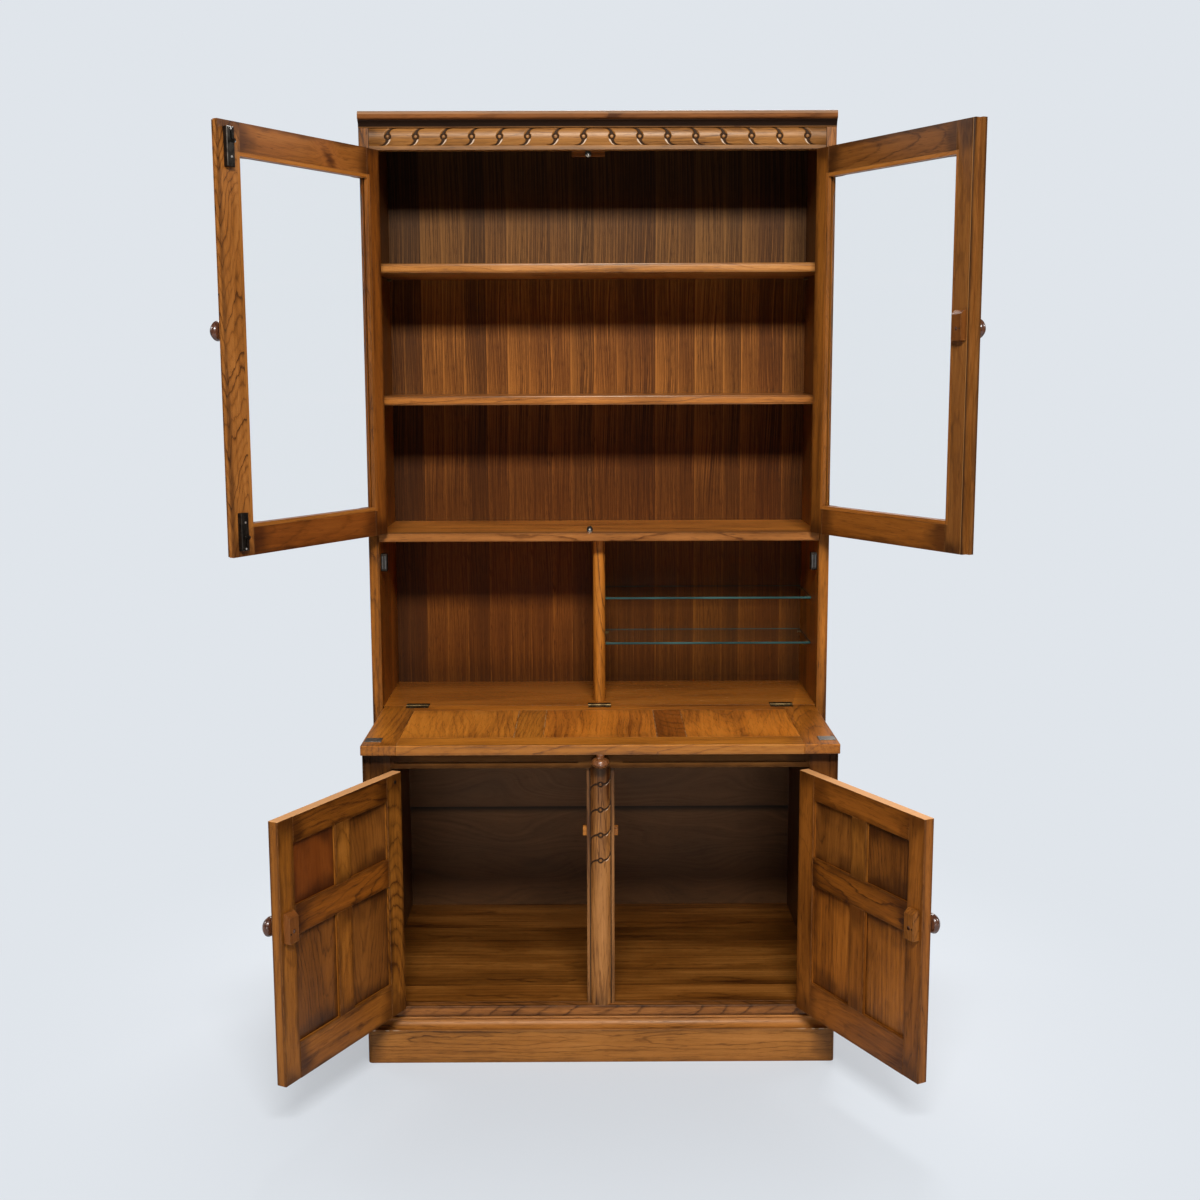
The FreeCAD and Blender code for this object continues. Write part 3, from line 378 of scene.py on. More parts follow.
def buildBoardPlace():
    # where a point lies on its own board: grain coordinates, distance to sides and ends, distance to an arris
    faceShare = (0.30, 0.08)
    sheet, _, out = makeGroup("boardPlace", {}, {
        "Grain": vectorKind, "Side": floatKind, "End": floatKind, "Arris": floatKind, "Face": floatKind,
        "Chance": colorKind, "Seed": floatKind,
    })
    place, span = [sheet.attribute(name, "Vector") for name in ("place", "span")]
    seed = sheet.attribute("seed")
    away = []
    for part, size in zip(sheet.split(place), sheet.split(span)):
        share = sheet.calc("MINIMUM", part, sheet.less(1.0, part))
        away.append(sheet.times(share, size))
    least, most = [
        sheet.calc(pick, sheet.calc(pick, away[0], away[1]), away[2]) for pick in ("MINIMUM", "MAXIMUM")
    ]
    sheet.fill(out, {
        "Grain": sheet.vector("MULTIPLY", place, span), "Side": away[1], "End": away[0],
        "Arris": sheet.less(sheet.less(sheet.plus(*away), least), most),
        "Face": sheet.span(share, *faceShare), "Chance": sheet.chance(seed)["Color"], "Seed": seed,
    })
    return sheet.tree


# pairs are how often a noise repeats per metre, along and across the grain
ringLook = dict(
    slow=(2.6, 7.0), wave=(11.0, 34.0), fine=(45.0, 190.0), thread=(38.0, 780.0), patch=(3.4, 13.0),
    band=(3.2, 150.0), drift=5.0, ripple=1.1, rough=0.0028, shift=3.1, otherSeed=31.7, clear=2.0, heart=(1.5, -0.25),
    behind=0.25, strength=(0.75, 0.25), pore=(0.56, 0.68), poreRing=(0.75, 0.15, 0.35, 1.0),
    line=((0.0, 0.5), (0.05, 0.1), (0.55, 0.0), (0.84, 0.22), (0.96, 1.0), (1.0, 0.6)),
    wash=((0.0, 0.5), (0.2, 0.12), (0.5, 0.0), (0.78, 0.4), (0.92, 0.9), (1.0, 0.5)),
)


def buildRingGrain():
    # growth rings cut by the board's face, with pores and streaks along it
    sheet, given, out = makeGroup(
        "ringGrain",
        {"Grain": (0, 0, 0), "Seed": 0.0, "Spacing": 0.010, "Slope": 0.12, "Wander": 0.012, "Depth": 0.03,
         "Width": 0.06, "Fine": 1.0, "Soft": 0.0},
        {"Ring": floatKind, "Pore": floatKind, "Streak": floatKind, "Cloud": floatKind},
    )
    look, seed, wander = ringLook, given["Seed"], given["Wander"]
    u, v, w = sheet.split(given["Grain"])
    luck = sheet.split(sheet.chance(seed)["Color"])
    luckMore = sheet.split(sheet.chance(sheet.plus(seed, look["otherSeed"]))["Color"])
    shift = sheet.times(seed, look["shift"])

    def stretched(label, **detail):
        along, across = look[label]
        where = sheet.combine(sheet.scaled(u, along, shift), sheet.times(v, across), sheet.times(w, across))
        return sheet.noise(where, **detail)

    drift = sheet.sway(stretched("slow", detail=1.0), sheet.times(wander, look["drift"]))
    ripple = sheet.sway(stretched("wave"), sheet.times(wander, look["ripple"]))
    rough = sheet.sway(stretched("fine", detail=1.0), look["rough"])
    # the tree's heart lies to one side of the board and behind it
    heart = sheet.times(given["Width"], sheet.scaled(luck[0], *look["heart"]))
    behind = sheet.scaled(given["Depth"], sheet.plus(luck[1], look["behind"]), w)
    reach = sheet.length(sheet.less(v, heart), behind)
    climb = sheet.times(u, given["Slope"], sheet.less(luckMore[0], 0.5))
    radius = sheet.plus(reach, climb, sheet.plus(drift, ripple, rough))
    turn = sheet.calc("DIVIDE", sheet.plus(radius, look["clear"]), given["Spacing"])
    share = sheet.calc("FRACT", turn)
    count = sheet.plus(sheet.calc("FLOOR", turn), seed)
    strength = sheet.scaled(sheet.chance(count)["Value"], *look["strength"])
    line, wash = [
        sheet.ramp(share, [(spot, (grey,) * 3) for spot, grey in look[label]]) for label in ("line", "wash")
    ]
    pore = sheet.span(stretched("thread", detail=1.0), *look["pore"])
    along, across = look["band"]
    band = sheet.combine(
        sheet.scaled(u, along, shift), sheet.times(sheet.plus(v, drift), sheet.times(given["Fine"], across)),
        sheet.times(w, across),
    )
    sheet.fill(out, {
        "Ring": sheet.times(sheet.mix(given["Soft"], line, wash), strength),
        "Pore": sheet.times(pore, sheet.span(share, *look["poreRing"])),
        "Streak": sheet.noise(band, detail=3.0, rough=0.6), "Cloud": stretched("patch", detail=3.0),
    })
    return sheet.tree


# pairs are the limits between none and full, lengths in metres
toneLook = dict(
    shift=1.9, cloud=16.0, scuff=70.0, sideSway=1.6, endSway=1.7, sideShare=0.85, smoke=(0.22, 0.18, 0.18),
    worn=(0.52, 0.24, 0.07), wornShare=0.5, bare=(0.62, 0.47, 0.33), glue=(0.72, 0.46, 0.22),
    rubArris=(0.0019, 0.0004), rubScuff=(0.42, 0.62), knockArris=(0.0028, 0.0008), knockEnd=(0.1, 0.02),
    knockScuff=(0.47, 0.55), seamSide=(0.0022, 0.001), seamScuff=(0.4, 0.56),
)


def buildToning():
    # smoky tone toward ends and sides, on the door panels partly painted shade, and pale rubbed arrises
    sheet, given, out = makeGroup(
        "antiqueToning",
        {"Color": (0.3, 0.12, 0.04, 1), "Grain": (0, 0, 0), "Side": 1.0, "End": 1.0, "Arris": 1.0, "Seed": 0.0,
         "Smoke": 0.5, "Face": 1.0, "Reach": 0.012, "Rub": 0.4, "Chafe": 0.0, "Seam": 0.0, "Fade": 0.055},
        {"Color": colorKind},
    )
    look, color = toneLook, given["Color"]
    spot = sheet.vector("ADD", given["Grain"], sheet.combine(sheet.times(given["Seed"], look["shift"]), 0.0, 0.0))
    cloud = sheet.noise(spot, scale=look["cloud"])
    scuff = sheet.noise(spot, scale=look["scuff"], detail=3.0)

    def edgeTone(label, reach, sway):
        return sheet.span(sheet.sway(cloud, sheet.times(given[reach], sway), given[label]), given[reach], 0.0)

    sideTone = sheet.times(edgeTone("Side", "Reach", look["sideSway"]), look["sideShare"])
    smoke = sheet.calc("MAXIMUM", sideTone, edgeTone("End", "Fade", look["endSway"]))
    smoke = sheet.times(smoke, given["Face"], given["Smoke"])
    toned = sheet.mix(smoke, color, sheet.mix(1.0, color, look["smoke"], "MULTIPLY"))
    rubbed = sheet.times(
        sheet.span(given["Arris"], *look["rubArris"]), sheet.span(scuff, *look["rubScuff"]), given["Rub"],
    )
    toned = sheet.mix(rubbed, toned, sheet.mix(look["wornShare"], color, look["worn"]))
    # knocks at the ends lay the bare wood open
    knock = sheet.times(
        sheet.span(given["Arris"], *look["knockArris"]), sheet.span(given["End"], *look["knockEnd"]),
        sheet.span(scuff, *look["knockScuff"]), given["Chafe"],
    )
    toned = sheet.mix(knock, toned, look["bare"])
    # pale broken lines along the sides of a board's face
    seam = sheet.times(
        sheet.span(given["Side"], *look["seamSide"]), sheet.span(scuff, *look["seamScuff"]), given["Face"],
        given["Seam"],
    )
    sheet.join(sheet.mix(seam, toned, look["glue"]), out["Color"])
    return sheet.tree


boardPlace = buildBoardPlace()
ringGrain = buildRingGrain()
antiqueToning = buildToning()


def startTree(owner, output):
    owner.use_nodes = True
    owner.node_tree.nodes.clear()
    sheet = Sheet(owner.node_tree)
    sheet.surface = sheet.add(output).inputs["Surface"]
    return sheet


def startMaterial(name):
    material = bpy.data.materials.new(name)
    sheet = startTree(material, "ShaderNodeOutputMaterial")
    shader = sheet.add("ShaderNodeBsdfPrincipled")
    sheet.join(shader.outputs[0], sheet.surface)
    return material, sheet, shader


shadow = (0.012, 0.006, 0.004)
knotLook = dict(
    lean=0.7, narrow=0.3, near=3.5, push=1.6, lift=0.02, fray=(50.0, 260.0, 50.0), raggedBy=2.2,
    halo=(3.2, 1.0, 0.45), haloTint=(0.34, 0.105, 0.022), heart=(1.5, 0.0, 0.9), heartTint=(0.06, 0.014, 0.004),
)
leafLook = dict(
    repeat=11.0, wide=(0.55, 0.0), wideShare=0.45, thin=(0.1, 0.02), luck=(0.9, 0.25), coolShare=0.6,
    cool=(0.74, 0.84, 0.95),
)
# bare and bareTint paint a highlight on the carved facets that glint
carveLook = dict(
    cut=(0.25, 0.7), cutTint=(0.022, 0.009, 0.004), bare=(-0.2, -0.7, 0.0, 0.85), bareTint=(0.8, 0.62, 0.46),
    rough=0.4,
)
# painted shade and a painted highlight along the groove of the right door's meeting stile
lipLook = dict(
    face=(0.0015, 0.0005), lip=(0.0, -0.0004, 0.0, 0.6), lipShadeTint=(0.45, 0.4, 0.36), line=(0.5, 0.85), rimOff=1.8,
    rim=(0.4, 0.4), rimTint=(0.55, 0.27, 0.085),
)
polish = dict(
    middleStop=0.52, warm=(1.08, 0.86, 0.66), tint=(1.0, 0.86, 0.7), poreRough=0.12, cloudRough=0.16,
    ringRelief=-0.35, poreRelief=-0.65, bumpDistance=0.0006,
)


def timberFinish(name, changes):
    look = {**oakFinish, **changes}
    material, sheet, shader = startMaterial(name)
    where = sheet.add("ShaderNodeGroup", node_tree=boardPlace).outputs
    figure = sheet.add("ShaderNodeGroup", node_tree=ringGrain)
    grain = where["Grain"]
    spot = dict(zip("XYZ", sheet.split(sheet.spot())))
    if look["knot"]:
        # the rings part round a knot
        alongSpot, acrossSpot, size = look["knot"]
        u, v, w = sheet.split(grain)
        fromU, fromV = sheet.less(u, alongSpot), sheet.less(v, acrossSpot)
        leanU = sheet.scaled(fromV, knotLook["lean"], fromU)
        away = sheet.length(leanU, sheet.times(fromV, math.sqrt(knotLook["narrow"])))
        near = sheet.span(away, size * knotLook["near"], 0.0)
        aside = sheet.scaled(sheet.times(fromV, near), knotLook["push"], v)
        grain = sheet.combine(u, aside, sheet.scaled(near, knotLook["lift"], w))
    if look["leaf"]:
        # strips laid side by side, the figure slipped along from one to the next
        u, v, w = sheet.split(grain)
        uneven = sheet.noise(sheet.combine(0.0, sheet.times(v, leafLook["repeat"]), 0.0), detail=1.0)
        strip = sheet.calc("DIVIDE", sheet.scaled(uneven, look["uneven"], v), look["leaf"])
        leafLuck = sheet.split(sheet.chance(sheet.calc("FLOOR", strip))["Color"])
        leafShare = sheet.calc("FRACT", strip)
        slipped = sheet.scaled(leafLuck[2], look["slip"], u)
        grain = sheet.combine(slipped, sheet.times(leafShare, look["leaf"]), w)
    sheet.fill(figure.inputs, {"Grain": grain, "Seed": where["Seed"]})
    ringLabels = ("Spacing", "Slope", "Wander", "Depth", "Width", "Fine", "Soft")
    sheet.fill(figure.inputs, {label: look[label.lower()] for label in ringLabels})
    ring, pore, streak, cloud = [figure.outputs[label] for label in ("Ring", "Pore", "Streak", "Cloud")]
    luck = sheet.split(where["Chance"])

    strength = look["streak"] * 2
    if look["calm"]:
        low, high, least = look["calm"]
        strength = sheet.span(spot["Z"], low, high, strength * least, strength)
    light = sheet.sway(streak, strength, 0.5)
    light = sheet.sway(cloud, look["cloud"] * 2, light)
    light = sheet.sway(luck[2], look["vary"] * 2, light)
    if look["leaf"]:
        line = sheet.span(leafShare, *leafLook["thin"])
        line = sheet.scaled(sheet.span(leafShare, *leafLook["wide"]), leafLook["wideShare"], line)
        line = sheet.times(line, sheet.scaled(leafLuck[1], *leafLook["luck"]))
        leafTone = sheet.scaled(line, look["joint"], sheet.sway(leafLuck[0], look["tone"]))
        if look["calm"]:
            leafTone = sheet.times(leafTone, sheet.span(spot["Z"], *look["calm"]))
        light = sheet.plus(light, leafTone)
    light = sheet.scaled(ring, -look["ring"], light)
    light = sheet.scaled(pore, -look["pore"], light, clamp=True)

    color = sheet.ramp(light, [(0.0, look["deep"]), (polish["middleStop"], look["middle"]), (1.0, look["pale"])])
    if look["leaf"]:
        cool = sheet.mix(1.0, color, leafLook["cool"], "MULTIPLY")
        color = sheet.mix(sheet.times(leafLuck[1], leafLook["coolShare"]), color, cool)
    warm = sheet.mix(1.0, color, polish["warm"], "MULTIPLY")
    color = sheet.mix(sheet.times(luck[1], look["warmth"]), color, warm)
    tone = sheet.add("ShaderNodeGroup", node_tree=antiqueToning)
    sheet.join(color, tone.inputs["Color"])
    sheet.fill(tone.inputs, {label: where[label] for label in ("Grain", "Side", "End", "Arris", "Face", "Seed")})
    toneLabels = ("Chafe", "Seam", "Fade", "Smoke", "Reach", "Rub")
    sheet.fill(tone.inputs, {label: look[label.lower()] for label in toneLabels})
    color = tone.outputs["Color"]
    if look["knot"]:
        fray = sheet.noise(sheet.vector("MULTIPLY", where["Grain"], knotLook["fray"]), detail=3.0)
        ragged = sheet.sway(fray, size * knotLook["raggedBy"], away)
        for label in ("halo", "heart"):
            outer, inner, amount = knotLook[label]
            share = sheet.span(ragged, size * outer, size * inner, 0.0, amount)
            color = sheet.mix(share, color, knotLook[label + "Tint"])
    if look["carved"]:
        cut = sheet.attribute("carve")
        stain = sheet.span(cut, *carveLook["cut"], 0.0, look["carved"])
        color = sheet.mix(stain, color, carveLook["cutTint"])
        # a painted highlight on the carved facets that glint
        color = sheet.mix(sheet.span(cut, *carveLook["bare"]), color, carveLook["bareTint"])
    if look["quirk"]:
        # painted shade: a dark line in the groove down the inner face and a darker lip beyond it; painted highlight:
        # a pale line beside the groove, away from the lip
        acrossSpot, wide, face = look["quirk"]
        plain = sheet.split(where["Grain"])
        inner = sheet.span(plain[2], *[face - under for under in lipLook["face"]])
        off = sheet.less(plain[1], acrossSpot)
        lip = sheet.times(sheet.span(off, *lipLook["lip"]), inner)
        color = sheet.mix(lip, color, lipLook["lipShadeTint"], "MULTIPLY")
        rimOff = sheet.less(off, wide * lipLook["rimOff"])
        for label, middle, tint in (("line", off, shadow), ("rim", rimOff, lipLook["rimTint"])):
            narrow, amount = lipLook[label]
            share = sheet.span(sheet.calc("ABSOLUTE", middle), wide, wide * narrow, 0.0, amount)
            color = sheet.mix(sheet.times(share, inner), color, tint)
    for axis, low, high, amount, tint, blend in look["bands"]:
        color = sheet.mix(sheet.span(spot[axis], low, high, 0.0, amount), color, tint, blend)
    for axis, low, high, amount, tint, blend in look["paintedShading"]:
        # painted shade and painted light, kept to the face that inside picks out, its axis, outer limit and depth
        across, outer, face = look["inside"]
        inner = sheet.span(sheet.calc("ABSOLUTE", spot[across]), outer, face)
        share = sheet.times(sheet.span(spot[axis], low, high, 0.0, amount), inner)
        color = sheet.mix(share, color, tint, blend)

    rough = sheet.scaled(pore, polish["poreRough"], look["rough"])
    if look["carved"]:
        rough = sheet.scaled(stain, carveLook["rough"], rough)
    relief = sheet.plus(sheet.times(ring, polish["ringRelief"]), sheet.times(pore, polish["poreRelief"]))
    sheet.fill(shader.inputs, {
        "Base Color": color, "Specular Tint": polish["tint"], "Specular IOR Level": look["gloss"],
        "Roughness": sheet.sway(cloud, polish["cloudRough"], rough),
        "Normal": sheet.bump(relief, look["bump"], polish["bumpDistance"]),
    })
    return material


# finishes: rings, pores and streaks darken, smoke and fade tone the sides and ends
# a band is its axis, where it starts, where it is full, its amount, tint and blend; most bands paint shade and light
# into the colour

def band(axis, low, high, amount, tint=shadow, blend="MIX"):
    return (axis, low, high, amount, tint, blend)


oakFinish = dict(
    pale=(0.41, 0.16, 0.03), middle=(0.268, 0.09, 0.012), deep=(0.06, 0.017, 0.003), spacing=0.011, slope=0.22,
    wander=0.01, depth=0.035, width=0.06, ring=0.6, pore=0.3, streak=0.4, cloud=0.45, vary=0.18, smoke=0.85,
    reach=0.012, fade=0.055, rub=0.2, rough=0.4, bump=0.12, gloss=0.32, fine=1.0, soft=0.0, warmth=0.8, chafe=0.0,
    seam=0.0, leaf=0.0, slip=0.0, uneven=0.0, tone=0.16, joint=0.0, carved=0.0, knot=None, calm=None, quirk=None,
    bands=(), paintedShading=(), inside=None,
)
# a painted highlight along the top edges of the lower doors' frames
paintedTopHighlight = dict(gloss=0.2, bands=(band("Z", 0.6136, 0.6143, 0.9, (0.9, 0.44, 0.17)),))
upperDoorOak = dict(pale=(0.315, 0.125, 0.028), middle=(0.2, 0.07, 0.012))
# the panels darken toward their borders: partly a toned finish, partly painted shade where they sit in the frame
panelBase = dict(deep=(0.05, 0.013, 0.002), smoke=0.9, reach=0.024)
buttonBase = dict(smoke=0.3, reach=0.004, ring=0.4, spacing=0.005, gloss=0.2)
# the flap's oak is written much paler than the other oak: painted light for the light on the flap's top
flapBase = dict(
    pale=(0.72, 0.3, 0.05), middle=(0.58, 0.2, 0.02), deep=(0.15, 0.042, 0.006), width=0.2, slope=0.3, rough=0.32,
)
flapSeams = dict(width=0.1, smoke=0.1, vary=0.05, seam=0.6)
sideBase = dict(pale=(0.56, 0.2, 0.03), middle=(0.4, 0.132, 0.014), width=0.18, smoke=0.4, warmth=0.1, ring=0.35)
plyBase = dict(
    width=0.5, spacing=0.05, slope=0.15, wander=0.05, depth=0.2, ring=0.14, pore=0.2, smoke=0.2, rub=0.0, rough=0.55,
)
finishLooks = {
    "doorOak": dict(upperDoorOak, ring=0.42),
    "lipOak": dict(upperDoorOak, ring=0.3, vary=0.08, quirk=(0.0112, 0.0012, 0.021)),
    "plainOak": dict(pale=(0.37, 0.138, 0.022), middle=(0.25, 0.082, 0.01), ring=0.18, streak=0.3),
    "wavyOak": dict(
        pale=(0.5, 0.21, 0.05), middle=(0.335, 0.12, 0.021), spacing=0.0105, wander=0.024, slope=1.3, ring=1.0,
        width=0.05, depth=0.014, streak=0.35, soft=0.45,
    ),
    "knottyOak": dict(pale=(0.43, 0.158, 0.034), middle=(0.285, 0.092, 0.015), ring=0.3, knot=(0.262, 0.022, 0.015)),
    "redOak": dict(pale=(0.32, 0.108, 0.018), middle=(0.205, 0.061, 0.008), deep=(0.05, 0.013, 0.002), ring=0.3),
    "goldOak": dict(paintedTopHighlight, pale=(0.4, 0.158, 0.026), middle=(0.258, 0.09, 0.01)),
    "calmOak": dict(
        paintedTopHighlight, pale=(0.385, 0.148, 0.028), middle=(0.262, 0.09, 0.012), ring=0.32, streak=0.35, vary=0.06,
        smoke=0.7,
    ),
    "figuredOak": dict(
        paintedTopHighlight, pale=(0.46, 0.185, 0.032), middle=(0.275, 0.097, 0.012), spacing=0.014, slope=1.0, wander=0.02,
        ring=0.9, width=0.05, soft=0.4,
    ),
    "lockOak": dict(
        pale=(0.4, 0.15, 0.021), middle=(0.245, 0.082, 0.008), ring=0.65, spacing=0.008, width=0.04, vary=0.06,
    ),
    "panelOak": dict(
        panelBase, pale=(0.35, 0.127, 0.022), middle=(0.222, 0.072, 0.01), width=0.12, spacing=0.008, slope=0.3,
        ring=0.5, streak=0.3, warmth=0.15, soft=0.2,
    ),
    "panelRed": dict(
        panelBase, pale=(0.22, 0.066, 0.008), middle=(0.14, 0.036, 0.004), deep=(0.04, 0.01, 0.002), width=0.3,
        spacing=0.012, slope=0.1, ring=0.15, streak=0.35,
    ),
    "panelGold": dict(
        panelBase, pale=(0.5, 0.19, 0.028), middle=(0.32, 0.108, 0.012), deep=(0.07, 0.019, 0.003), width=0.5,
        spacing=0.012, slope=0.08, ring=0.45, streak=0.5,
    ),
    "buttonOak": dict(buttonBase, pale=(0.27, 0.102, 0.024), middle=(0.175, 0.06, 0.012), rub=0.4),
    "goldButton": dict(buttonBase, pale=(0.46, 0.19, 0.04), middle=(0.33, 0.118, 0.018), rub=0.5),
    # the band is painted shade on the flap's edges below its top face
    "flapOak": dict(flapBase, smoke=0.35, ring=0.5, rub=0.6, vary=0.08, bands=(band("Z", 0.669, 0.6655, 0.42),)),
    # paler still: painted light on the flap's panels
    "flapPanel": dict(
        flapBase, pale=(0.85, 0.365, 0.065), middle=(0.7, 0.25, 0.027), deep=(0.17, 0.048, 0.007), spacing=0.012,
        smoke=0.3, ring=0.36, vary=0.06,
    ),
    "flapMuntin": dict(flapBase, **flapSeams, spacing=0.008, slope=0.5),
    "flapDark": dict(
        flapBase, **flapSeams, pale=(0.5, 0.195, 0.03), middle=(0.37, 0.118, 0.011), deep=(0.1, 0.028, 0.004),
        spacing=0.009, slope=0.6, ring=0.7,
    ),
    "sideOak": dict(
        sideBase, spacing=0.014, gloss=0.2, inside=("X", 0.4805, 0.479),
        # painted shade on the inner faces of the tall sides, darker toward the top
        paintedShading=(band("Z", 1.02, 1.2, 0.45), band("Z", 1.45, 1.8, 0.5)),
    ),
    # painted shade on the cupboard's inner side faces, darker toward the back
    "baseSideOak": dict(sideBase, inside=("X", 0.4605, 0.459), paintedShading=(band("Y", -0.3, -0.2, 0.85),)),
    "deskOak": dict(
        pale=(0.48, 0.168, 0.024), middle=(0.37, 0.114, 0.011), width=0.4, spacing=0.014, smoke=0.2, ring=0.3,
        # painted shade: the desk floor darker toward the back
        gloss=0.3, rough=0.26, bands=(band("Y", 0.12, 0.3, 0.5, (0.35, 0.3, 0.26), "MULTIPLY"),),
    ),
    # paler than the oak around it: painted light for the light the shelves' rounded fronts catch
    "shelfOak": dict(
        pale=(0.6, 0.275, 0.08), middle=(0.43, 0.166, 0.031), deep=(0.1, 0.032, 0.006), width=0.18, spacing=0.01,
        smoke=0.6, gloss=0.5, rough=0.3,
    ),
    "middleOak": dict(
        pale=(0.49, 0.215, 0.068), middle=(0.368, 0.145, 0.036), deep=(0.1, 0.03, 0.005), width=0.18, spacing=0.012,
        # painted light: the middle board lighter behind its front edge
        smoke=0.4, gloss=0.28, rough=0.3, bands=(band("Y", 0.045, 0.07, 1.0, (1.7, 1.6, 0.95), "MULTIPLY"),),
    ),
    "topOak": dict(
        pale=(0.34, 0.132, 0.036), middle=(0.222, 0.08, 0.02), width=0.18, spacing=0.014, gloss=0.08, rough=0.5,
        # painted shade on the lower part of the cornice, and a painted highlight along the top of its front
        smoke=0.6, bands=(band("Z", 1.929, 1.923, 0.6, (0.45, 0.4, 0.38), "MULTIPLY"),), inside=("Y", 0.016, 0.012),
        paintedShading=(band("Z", 1.932, 1.9345, 0.32, (0.66, 0.42, 0.26)),),
    ),
    "floorOak": dict(
        pale=(0.4, 0.158, 0.03), middle=(0.215, 0.074, 0.01), width=0.05, spacing=0.009, smoke=0.3, leaf=0.085,
        slip=9.0, joint=-0.14, streak=0.55, cloud=0.7, rough=0.35, gloss=0.2,
        # painted shade: the cupboard floor darker toward the back
        bands=(band("Y", -0.06, 0.1, 1.0, (0.56, 0.53, 0.5), "MULTIPLY"),),
    ),
    "railOak": dict(
        pale=(0.36, 0.142, 0.032), middle=(0.245, 0.09, 0.016), width=0.05, slope=0.3, ring=0.3, gloss=0.1,
        # painted shade toward the top of the base posts, under the flap
        bands=(band("Z", 0.54, 0.62, 0.6),),
    ),
    "shadeOak": dict(
        pale=(0.18, 0.08, 0.022), middle=(0.12, 0.049, 0.011), width=0.3, slope=0.05, ring=0.15, streak=0.25,
        vary=0.05, gloss=0.06,
    ),
    "slantOak": dict(
        pale=(0.52, 0.22, 0.06), middle=(0.35, 0.132, 0.03), width=0.04, slope=0.9, spacing=0.024, ring=0.5,
        wander=0.014,
    ),
    "dividerOak": dict(pale=(0.62, 0.25, 0.046), middle=(0.5, 0.182, 0.021), width=0.03, slope=0.3, smoke=0.3),
    # painted shade over the cove under the cornice, except its lowest lip
    "coveOak": dict(middle=(0.205, 0.085, 0.022), smoke=0.2, gloss=0.05, bands=(band("Z", 1.9078, 1.91, 0.97),)),
    "plinthOak": dict(
        pale=(0.48, 0.2, 0.05), middle=(0.35, 0.136, 0.024), width=0.07, spacing=0.007, slope=0.1, smoke=0.5,
        ring=0.7,
    ),
    "capOak": dict(
        pale=(0.5, 0.215, 0.055), middle=(0.365, 0.145, 0.028), width=0.02, spacing=0.007, slope=0.1, smoke=0.4,
        ring=0.45, chafe=1.0,
    ),
    "columnOak": dict(
        pale=(0.47, 0.228, 0.079), middle=(0.325, 0.149, 0.042), width=0.4, spacing=0.008, slope=0.1, carved=0.95,
        smoke=0.5, fade=0.04, ring=0.34, streak=0.5, cloud=1.0, fine=1.4, pore=0.4,
        bands=(band("Z", 0.47, 0.6, 0.6, (0.36, 0.3, 0.26), "MULTIPLY"),),
    ),
    "beadOak": dict(
        pale=(0.5, 0.21, 0.045), middle=(0.34, 0.125, 0.02), spacing=0.006, ring=0.3, width=0.01, smoke=0.3,
    ),
    "friezeOak": dict(
        pale=(0.44, 0.21, 0.065), middle=(0.31, 0.138, 0.033), ring=0.25, smoke=0.7, spacing=0.007, slope=0.05,
        carved=0.96, gloss=0.3, rough=0.34, streak=0.5, fine=2.0,
    ),
    "backVeneer": dict(
        pale=(0.42, 0.158, 0.027), middle=(0.128, 0.04, 0.0056), deep=(0.04, 0.013, 0.003), spacing=0.019,
        slope=0.012, wander=0.004, depth=0.9, width=0.9, ring=0.22, streak=1.1, cloud=0.2, smoke=0.0, rub=0.0,
        rough=0.45, fine=4.2, leaf=0.049, slip=0.15, uneven=0.05, tone=0.3, joint=0.36, gloss=0.13,
        calm=(0.95, 1.36, 0.4), inside=("Y", 0.3095, 0.308),
        # painted shade and painted light on the front face: darker and cooler in the top bay, darker from the third
        # bay down, lighter again in the desk, with painted shade under the frieze, just above the desk floor and
        # toward both sides
        paintedShading=(
            band("Z", 1.615, 1.628, 1.0, (0.6, 0.7, 0.92), "MULTIPLY"),
            band("Z", 1.348, 1.335, 1.0, (0.56, 0.5, 0.46), "MULTIPLY"),
            band("Z", 1.054, 1.04, 1.0, (1.3, 1.28, 0.98), "MULTIPLY"),
            band("Z", 1.7, 1.84, 0.55, (0.014, 0.012, 0.011)),
            band("Z", 0.76, 0.68, 0.3),
            band("X", -0.37, -0.47, 0.55),
            band("X", 0.4, 0.475, 0.35),
        ),
    ),
    "darkPly": dict(plyBase, pale=(0.2, 0.1, 0.045), middle=(0.13, 0.064, 0.026), deep=(0.06, 0.028, 0.011)),
    "shadedPly": dict(
        plyBase, pale=(0.28, 0.14, 0.062), middle=(0.185, 0.09, 0.037), deep=(0.085, 0.04, 0.016),
        inside=("Y", 0.3155, 0.314),
        paintedShading=(band("Z", 0.34, 0.358, 0.95), band("Z", 0.28, 0.18, 0.85, (0.45, 0.38, 0.28), "MULTIPLY")),
    ),
}
finishes = {name: timberFinish(name, changes) for name, changes in finishLooks.items()}
print("finishes made")


# carcase boards, one board to a node

carcaseBoards = {
    "tall_side_left": ("Z", "sideOak"), "tall_side_right": ("Z", "sideOak"), "top_board": ("X", "topOak"),
    "cornice_cove": ("X", "coveOak"), "upper_back_panel": ("Z", "backVeneer"), "middle_board": ("X", "middleOak"),
    "desk_divider": ("Z", "dividerOak"), "desk_floor": ("X", "deskOak"), "bolt_keeper_block": ("X", "redOak"),
    "base_side_left": ("Z", "baseSideOak"), "base_side_right": ("Z", "baseSideOak"),
    "base_post_left": ("Z", "railOak"), "base_post_right": ("Z", "railOak"), "base_top_board": ("X", "sideOak"),
    "base_top_rail": ("X", "shadeOak"), "bottom_rail": ("X", "slantOak"), "cupboard_floor": ("X", "floorOak"),
    "base_back_panel": ("X", "shadedPly"), "base_back_rail": ("X", "darkPly"), "plinth_front": ("X", "plinthOak"),
    "plinth_cap": ("X", "capOak"),
}
